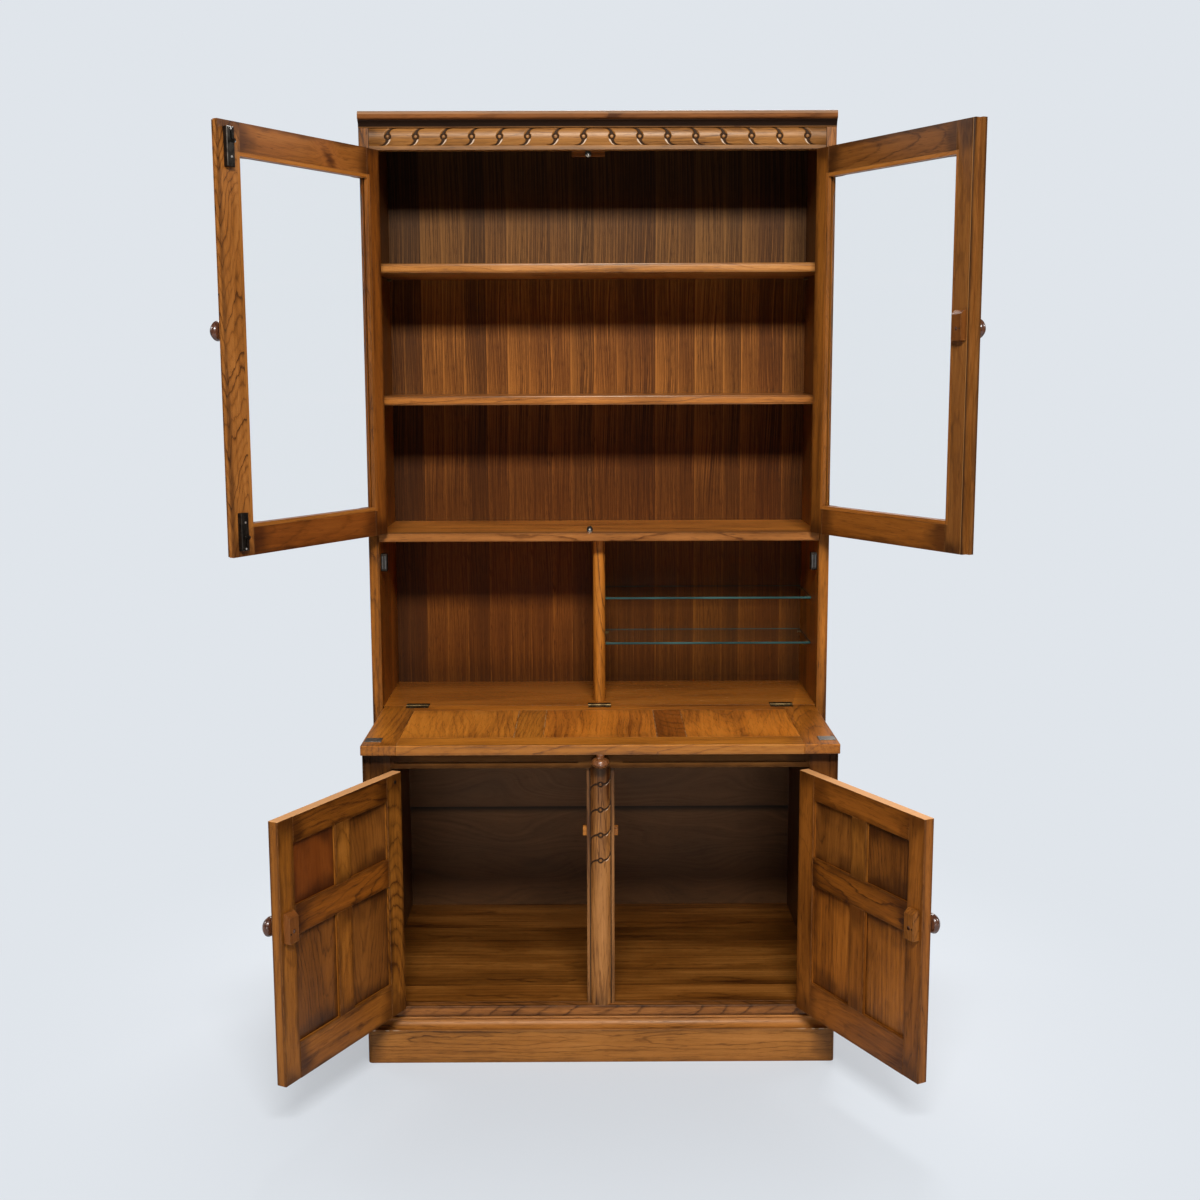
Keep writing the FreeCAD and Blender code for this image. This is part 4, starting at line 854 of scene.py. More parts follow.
for node, (along, finish) in carcaseBoards.items():
    timber(node, [oneBoard(along)], finish)

shelfNose = dict(round=0.0065, steps=5, ease=0.0005, level=0.0001, longEdge=0.5)


def roundNose(piece, nose):
    # the two long front edges of a board
    spots = vectors(piece.data.vertices, "co")
    front = spots[:, 1].min() + nose["level"]
    ends = [(spots[first], spots[last]) for first, last in (edge.vertices for edge in piece.data.edges)]
    startEdit(piece, "edges", [
        bool(max(first[1], last[1]) < front and abs(first[0] - last[0]) > nose["longEdge"]) for first, last in ends
    ])
    bpy.ops.mesh.bevel(offset=nose["round"], segments=nose["steps"])
    bpy.ops.object.mode_set(mode="OBJECT")


for node in ("lower_shelf", "upper_shelf"):
    shelf = copyNode(node, pieceName(node))
    mergeFaces(shelf)
    roundNose(shelf, shelfNose)
    dressBoard(shelf, "X", finishes["shelfOak"], ease=shelfNose["ease"])
    giveTo(shelf, node)


# carved frieze and mullion: a fine grid is pressed to the moulding's section and cut by the chisel strokes, all in mm

carvedAngle = 38
stroke = dict(
    ringToArm=1.0, facetFade=1.4, shallow=0.3, sweep=(-0.12, 1.05), facetFrom=0.9, bareStain=0.8, glintBelow=0.6,
)


def strokeDepth(scroll, along, across, lean):
    # depth is 0 on the moulding and 1 at the bottom of a stroke; stain is above 0 where dark, below 0 where a facet
    # gets a painted highlight
    # offsets are off a scroll's middle
    gap = np.abs(np.hypot(along, across) - scroll["ring"]) / scroll["ringWide"]
    depth = stain = np.clip(1 - gap ** 2, 0, 1)
    glint = np.zeros(len(depth), bool)
    for end in (-1, 1):
        # an arm leaves the ring and curls away: a steep wall on its inner side, a sloping facet on its outer side
        fromA = along / scroll["stretch"] - end * lean * (scroll["arm"] + scroll["armOut"])
        fromB = across - end * (scroll["ring"] + stroke["ringToArm"])
        sweep = np.degrees(np.arctan2(fromB * end, -fromA * end * lean)) / 90
        share = np.clip(sweep, 0, 1)
        wide = scroll["armWide"] + (scroll["armNarrow"] - scroll["armWide"]) * share
        facet = 1 + scroll["facet"] * np.clip(1 - stroke["facetFade"] * share, 0, 1)
        off = np.hypot(fromA, fromB) - scroll["arm"]
        gap = np.where(off > 0, off / facet, -off) / wide
        reach = (sweep > stroke["sweep"][0]) & (sweep < stroke["sweep"][1])
        arm = np.where(reach, np.clip(1 - gap ** 2, 0, 1) * (1 - stroke["shallow"] * share), 0)
        bare = reach & (off > wide * stroke["facetFrom"]) & (gap < stroke["facetFrom"])
        depth = np.maximum(depth, arm)
        stain = np.maximum(stain, np.where(bare, stroke["bareStain"] * arm, arm))
        if end == scroll["glint"]:
            low, high = scroll["glintSpan"]
            glint |= bare & (off > wide * scroll["glintFrom"]) & (share > low) & (share < high)
    return depth, np.where(glint & (stain < stroke["glintBelow"]), -1.0, stain)


def layStrokes(look, scrolls):
    depth = stain = np.zeros(len(scrolls[0][0]))
    for scroll in scrolls:
        cut, dark = strokeDepth(look, *scroll)
        depth = np.maximum(depth, cut)
        stain = np.where(np.abs(dark) > np.abs(stain), dark, stain)
    return depth, stain


def arc(half, rise, off):
    # how far a bow of this half width and rise falls back at an offset from its middle
    radius = (half ** 2 + rise ** 2) / (2 * rise)
    return radius - np.sqrt(np.maximum(radius ** 2 - off ** 2, 0))


def startGrid(name, columns, rows):
    bpy.ops.object.select_all(action="DESELECT")
    bpy.ops.mesh.primitive_grid_add(x_subdivisions=len(columns) - 1, y_subdivisions=len(rows) - 1, size=2)
    piece = bpy.context.object
    piece.name = piece.data.name = name
    flat = (vectors(piece.data.vertices, "co") + 1) / 2
    column = np.rint(flat[:, 0] * (len(columns) - 1)).astype(int)
    row = np.rint(flat[:, 1] * (len(rows) - 1)).astype(int)
    return piece, np.array(columns, float)[column], np.array(rows, float)[row], row


def pressGrid(piece, spots, stain, back, along, finish):
    selectOnly(piece)
    piece.data.vertices.foreach_set("co", (np.stack(spots, 1) / 1000).ravel())
    carve = piece.data.attributes.new("carve", "FLOAT", "POINT")
    carve.data.foreach_set("value", stain.astype(np.float32))
    bpy.context.tool_settings.mesh_select_mode = (False, True, False)
    bpy.ops.object.mode_set(mode="EDIT")
    bpy.ops.mesh.select_all(action="DESELECT")
    bpy.ops.mesh.select_non_manifold()
    bpy.ops.mesh.extrude_region_move()
    bpy.ops.object.mode_set(mode="OBJECT")
    for vertex in piece.data.vertices:
        if vertex.select:
            vertex.co.y = back / 1000
    bpy.ops.object.mode_set(mode="EDIT")
    bpy.ops.mesh.edge_face_add()
    bpy.ops.mesh.select_all(action="SELECT")
    bpy.ops.mesh.normals_make_consistent(inside=False)
    bpy.ops.object.mode_set(mode="OBJECT")
    smooth(piece, carvedAngle)
    markGrain(piece, along)
    piece.data.materials.append(finish)


frieze = dict(
    half=478.0, face=19.0, back=41.0, low=1862.0, filletTop=1871.0, high=1907.0, top=1922.0, step=3.0, bulge=4.5,
    first=29.5, pitch=58.5, count=8, columns=1200, cushionRows=44, arris=0.6, arrisDeep=0.5, margin=0.1, depth=3.0,
    ring=5.5, ringWide=2.5, arm=11.4, armOut=1.2, stretch=1.4, armWide=2.7, armNarrow=1.7, facet=1.3, glint=-1,
    glintFrom=0.9, glintSpan=(-0.1, 0.55),
)
low, filletTop, high = frieze["low"], frieze["filletTop"], frieze["high"]
filletRows = [low, low + frieze["arris"], filletTop - frieze["arris"], filletTop]
cushionRows = list(np.linspace(filletTop, high, frieze["cushionRows"]))
rows = filletRows + cushionRows + [high, frieze["top"]]
columns = np.linspace(-frieze["half"], frieze["half"], frieze["columns"])
carvedFrieze, x, z, row = startGrid("carvedFrieze", columns, rows)
halfHigh = (high - filletTop) / 2
level = filletTop + halfHigh
crown = frieze["face"] + frieze["step"] - frieze["bulge"]
y = crown + arc(halfHigh, frieze["bulge"], z - level)
y = np.where(row < len(filletRows), frieze["face"], y)
y = np.where((row == 0) | (row == len(filletRows) - 1), frieze["face"] + frieze["arrisDeep"], y)
y = np.where(row >= len(rows) - 2, frieze["face"], y)
cut, stain = layStrokes(frieze, [
    (x - side * (frieze["first"] + count * frieze["pitch"]), z - level, -side)
    for side in (-1, 1) for count in range(frieze["count"])
])
inside = (z > filletTop + frieze["margin"]) & (z < high - frieze["margin"])
spots = [x, y + np.where(inside, cut, 0) * frieze["depth"], z]
pressGrid(carvedFrieze, spots, np.where(inside, stain, 0), frieze["back"], "X", finishes["friezeOak"])
giveTo(carvedFrieze, "frieze_rail")

mullion = dict(
    half=28.0, columnHalf=20.5, rise=12.0, crown=-298.0, back=-276.75, low=113.0, high=616.0, first=581.0, pitch=53.0,
    count=4, carvedFrom=395.0, plainRows=40, carvedRows=280, columns=58, flankFrom=0.2, quirk=1.0,
    quirkSpots=(0.3, 1.3, 1.7), quirkAt=0.7, quirkHalf=0.75, stainAt=0.6, flatStain=0.44, arris=0.6, arrisFrom=0.1,
    arrisDeep=0.5, margin=0.5, depth=2.8, ring=4.6, ringWide=2.2, arm=14.6, armOut=0.5, stretch=1.0, armWide=2.2,
    armNarrow=1.6, facet=1.0, glint=1, glintFrom=1.1, glintSpan=(0.2, 0.6), stopsFrom=-276.7,
)
stopBlocks = copyNode("mullion", "mullionStops")
stops = [
    takeBoard(stopBlocks, {"Y": above(mullion["stopsFrom"]), "X": side}, uprightOnly) for side in (below(0), above(0))
]
bpy.data.objects.remove(stopBlocks)

edge, half = mullion["columnHalf"], mullion["half"]
rows = list(np.linspace(mullion["low"], mullion["carvedFrom"], mullion["plainRows"]))[:-1]
rows += list(np.linspace(mullion["carvedFrom"], mullion["high"], mullion["carvedRows"]))
flank = [edge + spot for spot in mullion["quirkSpots"]] + [half - mullion["arris"], half]
columns = [-spot for spot in reversed(flank)] + list(np.linspace(-edge, edge, mullion["columns"])) + flank
carvedColumn, x, z, _ = startGrid("carvedColumn", columns, rows)
beyond = np.abs(x) - edge
flat = mullion["crown"] + mullion["rise"]
y = np.where(beyond > mullion["flankFrom"], flat, mullion["crown"] + arc(edge, mullion["rise"], x))
y = np.where(np.abs(beyond - mullion["quirkAt"]) < mullion["quirkHalf"], flat + mullion["quirk"], y)
y = np.where(np.abs(x) > half - mullion["arrisFrom"], flat + mullion["arrisDeep"], y)
cut, stain = layStrokes(mullion, [
    (z - mullion["first"] + count * mullion["pitch"], x, 1) for count in range(mullion["count"])
])
inside = beyond < -mullion["margin"]
inQuirk = np.abs(beyond - mullion["stainAt"]) < mullion["quirkHalf"]
flankStain = np.where(inQuirk, 1.0, mullion["flatStain"])
spots = [x, y + np.where(inside, cut, 0) * mullion["depth"], z]
stain = np.where(inside, stain, flankStain)
pressGrid(carvedColumn, spots, stain, mullion["back"], "Z", finishes["columnOak"])
for stop in stops:
    mergeFaces(stop)
    dressBoard(stop, "X", finishes["dividerOak"])
carvedMullion = joinBoards([carvedColumn, *stops], "carvedMullion")
giveTo(carvedMullion, "mullion")
print("carving cut")

plinth = dict(sidesFrom=458, backFrom=290.9)
timber("plinth_frame", [
    oneBoard("Y", X=below(-plinth["sidesFrom"])), oneBoard("Y", X=above(plinth["sidesFrom"])),
    oneBoard("X", Y=above(plinth["backFrom"])), oneBoard("Y"),
], "sideOak")
print("carcase boards dressed")


# doors and flap, split into their boards

upperDoor = {
    "hingeSight": 436.0, "freeSight": 54.0, "lowSight": 1118.5, "highSight": 1799.5, "bead": 8.0, "beadFront": 31.0,
    "left": {"meeting": "wavyOak", "top": "knottyOak", "low": "redOak", "groove": None},
    "right": {
        "meeting": "lipOak", "top": "doorOak", "low": "plainOak",
        "groove": {"X": (12.0, 13.6), "Y": (38.6, 42.0), "Z": (1000.0, 1900.0)},
    },
}


def upperDoorBoards(look, hand):
    grow = look["bead"]
    hinge, free, low, high = [look[label] for label in ("hingeSight", "freeSight", "lowSight", "highSight")]
    upright, between = (low - grow, high + grow), (free, hinge)
    beads = [
        oneBoard(along, "beadOak", X=x, Y=above(look["beadFront"]), Z=z) for x, z, along in (
            ((hinge, hinge + grow), upright, "Z"), ((free - grow, free), upright, "Z"),
            (between, (low - grow, low), "X"), (between, (high, high + grow), "X"),
        )
    ]
    own = look[hand]
    return beads + [
        oneBoard("Z", "plainOak", X=above(hinge)), oneBoard("Z", own["meeting"], own["groove"], X=below(free)),
        oneBoard("X", own["top"], Z=above(high)), oneBoard("X", own["low"]),
    ]


lowerDoor = {
    "hingeSight": 369.5, "freeSight": 73.5, "topRail": 564.5, "lockRail": (390.5, 446.5), "bottomRail": 184.5,
    "panelSplit": 221.5, "panelLevel": 418, "buttonEase": 0.0012,
    "left": {
        "frame": "goldOak", "hinge": "figuredOak", "button": "buttonOak",
        "panels": ("panelOak", "panelOak", "panelRed", "panelOak"),
    },
    "right": {
        "frame": "calmOak", "hinge": "calmOak", "button": "goldButton",
        "panels": ("panelGold", "panelGold", "panelOak", "panelOak"),
    },
}


def lowerDoorBoards(look, hand):
    return [
        oneBoard("Z", look[hand]["hinge"], X=above(look["hingeSight"])), oneBoard("Z", X=below(look["freeSight"])),
        oneBoard("X", Z=above(look["topRail"])), oneBoard("X", "lockOak", Z=look["lockRail"]),
        oneBoard("X", Z=below(look["bottomRail"])), oneBoard("Z", Z=above(look["lockRail"][1])), oneBoard("Z"),
    ]


def lowerPanelBoards(look, hand):
    free, hinge, low = below(look["panelSplit"]), above(look["panelSplit"]), below(look["panelLevel"])
    limits = ({"X": free, "Z": low}, {"X": hinge, "Z": low}, {"X": free}, {})
    return [oneBoard("Z", finish, **limit) for finish, limit in zip(look[hand]["panels"], limits)]


for hand in ("left", "right"):
    upper, lower = "upper_" + hand, "lower_" + hand
    look, swing = lowerDoor[hand], swings[lower]
    timber(upper + "_door_frame", upperDoorBoards(upperDoor, hand), "doorOak", swings[upper])
    timber(lower + "_door_frame", lowerDoorBoards(lowerDoor, hand), look["frame"], swing)
    timber(lower + "_door_panels", lowerPanelBoards(lowerDoor, hand), "panelOak", swing)
    timber(lower + "_turn_button", [oneBoard("Z")], look["button"], swing, lowerDoor["buttonEase"])
timber("upper_right_turn_button", [oneBoard("Z")], "buttonOak", swings["upper_right"], lowerDoor["buttonEase"])

flap = dict(sidesFrom=406, backFrom=-11.5, frontTo=-260.7, panelSplit=145.5, panelEase=0.0004)
timber("flap_frame", [
    oneBoard("Y", X=below(-flap["sidesFrom"])), oneBoard("Y", X=above(flap["sidesFrom"])),
    oneBoard("X", Y=above(flap["backFrom"])), oneBoard("X", Y=below(flap["frontTo"])),
    oneBoard("Y", "flapMuntin", X=below(0)), oneBoard("Y", "flapDark"),
], "flapOak")
timber("flap_panels", [
    oneBoard("Y", X=below(-flap["panelSplit"])), oneBoard("Y", X=above(flap["panelSplit"])), oneBoard("Y"),
], "flapPanel", ease=flap["panelEase"])
print("doors and flap dressed")


# metal, knobs and glass

patinaLook = dict(blotch=90.0, speck=600.0, speckle=0.4, edge=(0.35, 0.65), rough=(0.25, 0.36), bump=(0.1, 0.0003))


def buildPatina(look):
    sheet, given, out = makeGroup(
        "patina",
        {"Bright": (0.5, 0.35, 0.15, 1), "Dull": (0.1, 0.07, 0.04, 1), "Amount": 0.5},
        {"Color": colorKind, "Rough": floatKind, "Height": floatKind},
    )
    spot = sheet.spot()
    blotch = sheet.noise(spot, scale=look["blotch"], detail=4.0)
    speck = sheet.noise(spot, scale=look["speck"])
    dull = sheet.span(sheet.sway(speck, look["speckle"], blotch), *look["edge"])
    dull = sheet.times(dull, given["Amount"])
    sheet.fill(out, {
        "Color": sheet.mix(dull, given["Bright"], given["Dull"]), "Rough": sheet.scaled(dull, *look["rough"]),
        "Height": speck,
    })
    return sheet.tree


patina = buildPatina(patinaLook)


def metalFinish(name, bright, dull, amount):
    material, sheet, shader = startMaterial(name)
    node = sheet.add("ShaderNodeGroup", node_tree=patina)
    sheet.fill(node.inputs, {"Bright": bright, "Dull": dull, "Amount": amount})
    sheet.fill(shader.inputs, {
        "Base Color": node.outputs["Color"], "Roughness": node.outputs["Rough"], "Metallic": 1.0,
        "Normal": sheet.bump(node.outputs["Height"], *patinaLook["bump"]),
    })
    return material


knobLook = dict(repeat=(300.0, 300.0, 60.0), stops=(0.3, 0.6, 0.8), rough=(0.12, 0.22), coat=0.35, coatRough=0.06)
glassLook = dict(ripple=3.0, brighter=1.03, ior=1.1, edgeCloud=9.0, edgeRough=0.25, edgeGloss=0.12)


def knobFinish(name, dark, middle, light):
    material, sheet, shader = startMaterial(name)
    streak = sheet.noise(sheet.vector("MULTIPLY", sheet.spot(), knobLook["repeat"]), detail=3.0)
    sheet.fill(shader.inputs, {
        "Base Color": sheet.ramp(streak, list(zip(knobLook["stops"], (dark, middle, light)))),
        "Roughness": sheet.scaled(streak, *knobLook["rough"]), "Specular IOR Level": 0.5,
        "Coat Weight": knobLook["coat"], "Coat Roughness": knobLook["coatRough"],
    })
    return material


def glassFinish(name, tint, shade):
    material, sheet, shader = startMaterial(name)
    ripple = sheet.noise(sheet.spot(), scale=glassLook["ripple"], detail=1.0)
    bright = tuple(min(1.0, part * glassLook["brighter"]) for part in tint)
    sheet.fill(shader.inputs, {
        "Base Color": sheet.ramp(ripple, [(0.0, tint), (1.0, bright)]), "Transmission Weight": 1.0,
        "Roughness": 0.0, "IOR": glassLook["ior"],
    })
    clear = sheet.add("ShaderNodeBsdfTransparent")
    sheet.join(shade, clear.inputs["Color"])
    path = sheet.add("ShaderNodeLightPath").outputs
    passing = sheet.calc("MAXIMUM", path["Is Shadow Ray"], path["Is Diffuse Ray"])
    sheet.join(sheet.choose(passing, shader.outputs[0], clear.outputs[0]), sheet.surface)
    return material


def edgeGlassFinish(name, dark, light):
    material, sheet, shader = startMaterial(name)
    depth = sheet.noise(sheet.spot(), scale=glassLook["edgeCloud"])
    sheet.fill(shader.inputs, {
        "Base Color": sheet.ramp(depth, [(0.3, dark), (0.7, light)]), "Roughness": glassLook["edgeRough"],
        "Specular IOR Level": glassLook["edgeGloss"],
    })
    return material


agedBrass = metalFinish("agedBrass", (0.17, 0.115, 0.050), (0.060, 0.038, 0.018), 0.8)
darkBronze = metalFinish("darkBronze", (0.060, 0.050, 0.040), (0.020, 0.017, 0.014), 0.8)
hingeBrass = metalFinish("hingeBrass", (0.11, 0.072, 0.030), (0.035, 0.022, 0.011), 0.8)
brightSteel = metalFinish("brightSteel", (0.62, 0.60, 0.56), (0.25, 0.22, 0.19), 0.4)
greySteel = metalFinish("greySteel", (0.27, 0.25, 0.22), (0.12, 0.105, 0.09), 0.6)
dullSteel = metalFinish("dullSteel", (0.16, 0.155, 0.145), (0.07, 0.065, 0.06), 0.5)
polishedKnob = knobFinish("polishedKnob", (0.045, 0.014, 0.006), (0.105, 0.034, 0.013), (0.17, 0.060, 0.022))
# the flap's knob is a paler copy of the other knobs' finish: painted light where the lamp falls on it
paleKnob = knobFinish("paleKnob", (0.110, 0.036, 0.011), (0.240, 0.084, 0.024), (0.34, 0.125, 0.038))
clearGlass = glassFinish("clearGlass", (0.985, 0.995, 0.99), (1.0, 1.0, 1.0))
shelfGlass = glassFinish("shelfGlass", (0.90, 0.96, 0.94), (0.86, 0.89, 0.88))
shelfEdgeGlass = edgeGlassFinish("shelfEdgeGlass", (0.012, 0.042, 0.038), (0.040, 0.108, 0.098))


def dressCopy(node, finish, ease):
    piece = copyNode(node, pieceName(node))
    mergeFaces(piece)
    if ease:
        easeEdges(piece, ease)
    else:
        smooth(piece)
    piece.data.materials.append(finish)
    giveTo(piece, node)
    return piece


doorHands = ("upper_left", "upper_right", "lower_left", "lower_right")
for finish, ease, nodes in (
    (polishedKnob, 0, [hand + "_knob" for hand in doorHands]),
    (paleKnob, 0, ["flap_knob"]),
    (darkBronze, 0.0004, ["bolt_cases"]),
    (darkBronze, 0, ["upper_bolt", "lower_bolt"]),
    (darkBronze, 0.0006, ["flap_catches"]),
    (greySteel, 0.0003, ["flap_strikers"]),
    (agedBrass, 0.0003, ["shelf_pegs", "glass_shelf_studs"]),
    (hingeBrass, 0, ["hinge_frame_leaves", "flap_hinge_leaves"]),
    (agedBrass, 0, [hand + "_hinge_leaves" for hand in doorHands]),
    (clearGlass, 0.0004, ["upper_left_door_glass", "upper_right_door_glass"]),
):
    for node in nodes:
        dressCopy(node, finish, ease)

glassShelf = dict(ease=0.0003, flatFrom=0.9)
for node in ("lower_glass_shelf", "upper_glass_shelf"):
    piece = dressCopy(node, shelfGlass, glassShelf["ease"])
    piece.data.materials.append(shelfEdgeGlass)
    for face in piece.data.polygons:
        face.material_index = 0 if abs(face.normal.z) > glassShelf["flatFrom"] else 1

# a recess in each face of the keepers that looks to the front
keeper = dict(rim=0.0042, deep=0.001, ease=0.0004, frontFrom=-0.95, leastArea=0.00005)
keepers = copyNode("bolt_keepers", "boltKeepers")
mergeFaces(keepers)
keepers.data.materials.append(darkBronze)
keepers.data.materials.append(brightSteel)
keepers.active_material_index = 1
startEdit(keepers, "polygons", [
    face.normal.y < keeper["frontFrom"] and face.area > keeper["leastArea"] for face in keepers.data.polygons
])
bpy.ops.mesh.inset(thickness=keeper["rim"])
bpy.ops.transform.translate(value=(0, keeper["deep"], 0))
bpy.ops.object.material_slot_assign()
bpy.ops.object.mode_set(mode="OBJECT")
easeEdges(keepers, keeper["ease"])
giveTo(keepers, "bolt_keepers")

screw = dict(
    radius=0.0023, high=0.0012, stand=0.0004, slotWide=0.0007, slotDeep=0.0005, sides=28, ease=0.0003, easeSteps=3,
)


def makeScrew():
    bpy.ops.object.select_all(action="DESELECT")
    bpy.ops.mesh.primitive_cylinder_add(vertices=screw["sides"], radius=screw["radius"], depth=screw["high"])
    head = bpy.context.object
    easeEdges(head, screw["ease"], segments=screw["easeSteps"])
    slotSize = (screw["radius"] * 3, screw["slotWide"], screw["slotDeep"] * 2)
    cutAway(head, addBox(slotSize, (0, 0, screw["high"] / 2)))
    head.data.transform(Matrix.Translation((0, 0, screw["stand"] - screw["high"] / 2)))
    return head


def setScrews(name, body, finish, places):
    # places: move to the body's rest place, spot in mm, outward way, turn of the slot, size
    copies = []
    for move, spot, outward, turnBy, size in places:
        one = bpy.data.objects.new(name, screwHead.data.copy())
        bpy.context.scene.collection.objects.link(one)
        face = Vector(outward).to_track_quat("Z", "Y").to_matrix().to_4x4()
        turned = face @ Matrix.Rotation(turnBy, 4, "Z") @ Matrix.Scale(size, 4)
        one.data.transform(move @ Matrix.Translation(Vector(spot) / 1000) @ turned)
        one.data.materials.clear()
        one.data.materials.append(finish)
        copies.append(one)
    piece = joinBoards(copies, name)
    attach(piece, body)


screwHead = makeScrew()
inward, upward = (0, 1, 0), (0, 0, 1)
boltPlate = dict(
    x=-20.0, face=51.0, upper=(1848.6, -1), lower=(1069.4, 1), drops=((4.0, 0.4), (54.0, 1.1)), screwSize=0.95,
)
places = []
for near, way in (boltPlate["upper"], boltPlate["lower"]):
    for drop, turnBy in boltPlate["drops"]:
        spot = (boltPlate["x"], boltPlate["face"], near + way * drop)
        places.append((openDoor(swings["upper_left"]), spot, inward, turnBy, boltPlate["screwSize"]))
setScrews("boltScrews", "upper_left_door", brightSteel, places)

leafScrew = dict(spots=(-403.0, 0.0, 403.0), apart=15.0, flapY=25.0, floorY=53.0, top=670.3, turn=0.6)
for name, body, label in (("flapLeafScrews", "fall_flap", "flapY"), ("floorLeafScrews", "carcase", "floorY")):
    places = []
    for middle in leafScrew["spots"]:
        for side in (-1, 1):
            spot = (middle + side * leafScrew["apart"], leafScrew[label], leafScrew["top"])
            places.append((Matrix.Identity(4), spot, upward, leafScrew["turn"] * side + middle, 1.0))
    setScrews(name, body, dullSteel, places)

doorScrews = {
    "upperRightButtonScrew": ("upper_right", "upper_right_catch", (16.0, 54.5, 1481.0), 0.5, 0.8),
    "lowerLeftButtonScrew": ("lower_left", "lower_left_catch", (-40.5, -262.5, 405.0), 0.9, 0.8),
    "lowerRightButtonScrew": ("lower_right", "lower_right_catch", (40.5, -262.5, 409.0), 0.2, 0.8),
    "stileScrew": ("lower_left", "lower_left_door", (-398.0, -277.0, 598.0), 0.7, 1.6),
}
for name, (hand, body, spot, turnBy, size) in doorScrews.items():
    place = (openDoor(swings[hand]), spot, inward, turnBy, size)
    setScrews(name, body, darkBronze, [place])
bpy.data.objects.remove(screwHead)

# the steel strips of the magnetic catches, in mm
strip = dict(size=(3.2, 1.2, 28.0), stand=0.25, face=41.0, level=990.0, wall=478.0, spots=(4.0, 10.0), ease=0.0003)
strips = []
for side in (-1, 1):
    for inset in strip["spots"]:
        middleY = strip["face"] - strip["stand"] + strip["size"][1] / 2
        middle = Vector((side * (strip["wall"] - inset), middleY, strip["level"]))
        bar = addBox(Vector(strip["size"]) / 1000, middle / 1000)
        easeEdges(bar, strip["ease"])
        bar.data.materials.append(dullSteel)
        strips.append(bar)
catchStrips = joinBoards(strips, "catchStrips")
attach(catchStrips, "carcase")
print("metal, knobs and glass dressed")


# camera as the photograph was taken

view = dict(
    spot=(-0.01113, -3.30608, 1.41138), pitch=8.59, yaw=0.22, roll=-0.19, focalPixels=1539.64, photoPixels=1200,
    sensor=36,
)
pitch, yaw, roll = [math.radians(view[label]) for label in ("pitch", "yaw", "roll")]
ahead = Vector((math.sin(yaw) * math.cos(pitch), math.cos(yaw) * math.cos(pitch), -math.sin(pitch)))
right = Vector((math.cos(yaw), -math.sin(yaw), 0))
up = right.cross(ahead)
rightRolled = right * math.cos(roll) + up * math.sin(roll)
upRolled = -right * math.sin(roll) + up * math.cos(roll)
bpy.ops.object.camera_add()
camera = bpy.context.object
camera.name = "photoCamera"
camera.data.sensor_width = view["sensor"]
camera.data.lens = view["focalPixels"] / view["photoPixels"] * view["sensor"]
turn = Matrix((rightRolled, upRolled, -ahead)).transposed().to_4x4()
turn.translation = Vector(view["spot"])
camera.matrix_world = turn
bpy.context.scene.camera = camera

# studio: pale floor, soft lamps, plain background

studio = dict(
    background=(0.745, 0.784, 0.831), floorRadius=4.0, floorSides=96, floorDrop=0.0005,
    floorFade=(0.5, 1.5, 0.55, 1.0), worldLight=(0.95, 0.97, 1.0), worldStrength=0.014, mirrorStrength=0.2,
)


def seenDirectly(sheet):
    # camera and see-through rays meet the plain background
    path = sheet.add("ShaderNodeLightPath").outputs
    return sheet.calc("ADD", path["Is Camera Ray"], path["Is Transmission Ray"], clamp=True)


def floorFinish(look):
    material = bpy.data.materials.new("paleFloor")
    sheet = startTree(material, "ShaderNodeOutputMaterial")
    matte, plain = [sheet.add(kind) for kind in ("ShaderNodeBsdfDiffuse", "ShaderNodeEmission")]
    for node in (matte, plain):
        sheet.join(look["background"], node.inputs["Color"])
    spot = sheet.split(sheet.spot())
    share = sheet.times(sheet.span(sheet.length(spot[0], spot[1]), *look["floorFade"]), seenDirectly(sheet))
    sheet.join(sheet.choose(share, matte.outputs[0], plain.outputs[0]), sheet.surface)
    return material


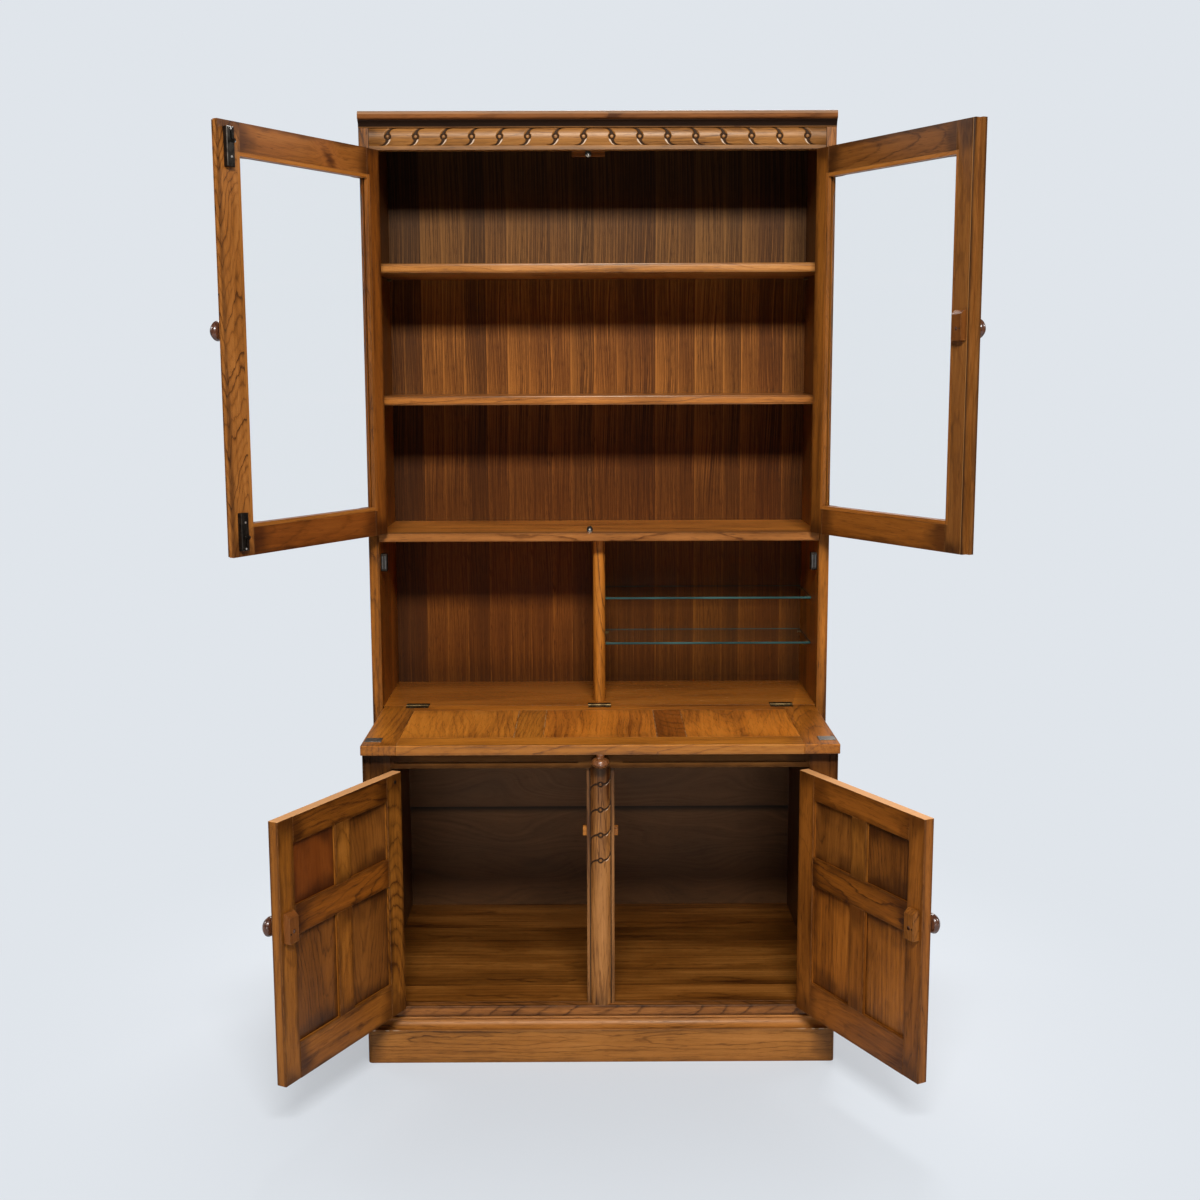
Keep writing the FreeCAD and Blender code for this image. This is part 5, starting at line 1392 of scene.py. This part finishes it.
bpy.ops.mesh.primitive_circle_add(
    vertices=studio["floorSides"], radius=studio["floorRadius"], fill_type="NGON", location=(0, 0, 0),
)
floor = bpy.context.object
floor.name = "paleFloor"
floor.data.transform(Matrix.Translation((0, 0, -studio["floorDrop"])))
floor.data.materials.append(floorFinish(studio))

world = bpy.data.worlds.new("studioWorld")
bpy.context.scene.world = world
sheet = startTree(world, "ShaderNodeOutputWorld")
lit, seen = [sheet.add("ShaderNodeBackground") for _ in range(2)]
mirror = sheet.add("ShaderNodeLightPath").outputs["Is Glossy Ray"]
strength = sheet.scaled(mirror, studio["mirrorStrength"], studio["worldStrength"])
sheet.fill(lit.inputs, {"Color": studio["worldLight"], "Strength": strength})
sheet.join(studio["background"], seen.inputs["Color"])
sheet.join(sheet.choose(seenDirectly(sheet), lit.outputs[0], seen.outputs[0]), sheet.surface)

lamps = {
    "keyLamp": {"spot": (0.1, -3.5, 3.2), "aim": (0, 0, 1.0), "size": (1.5, 0.45), "power": 175},
    "lowLamp": {"spot": (0.0, -2.6, 0.35), "aim": (0, 0.3, 0.42), "size": (1.6, 0.4), "power": 0.36, "spread": 24},
    "leftLamp": {"spot": (-3.4, 2.2, 2.6), "aim": (-0.4, 0, 1.0), "size": (1.6, 1.6), "power": 34},
    "rightLamp": {"spot": (3.4, 2.2, 2.6), "aim": (0.4, 0, 1.0), "size": (1.6, 1.6), "power": 34},
    "rearLamp": {"spot": (0.6, 3.6, 4.6), "aim": (0, 0, 1.0), "size": (2.5, 1.2), "power": 230},
}
for name, lamp in lamps.items():
    bpy.ops.object.light_add(type="AREA", location=lamp["spot"])
    light = bpy.context.object
    light.name = name
    light.data.shape = "RECTANGLE"
    light.data.size, light.data.size_y = lamp["size"]
    light.data.energy = lamp["power"]
    light.data.spread = math.radians(lamp.get("spread", 180))
    light.visible_camera = light.visible_transmission = False
    light.rotation_euler = (Vector(lamp["aim"]) - Vector(lamp["spot"])).to_track_quat("-Z", "Y").to_euler()

bpy.context.scene.view_settings.view_transform = "Standard"
print("camera, floor and lamps placed")
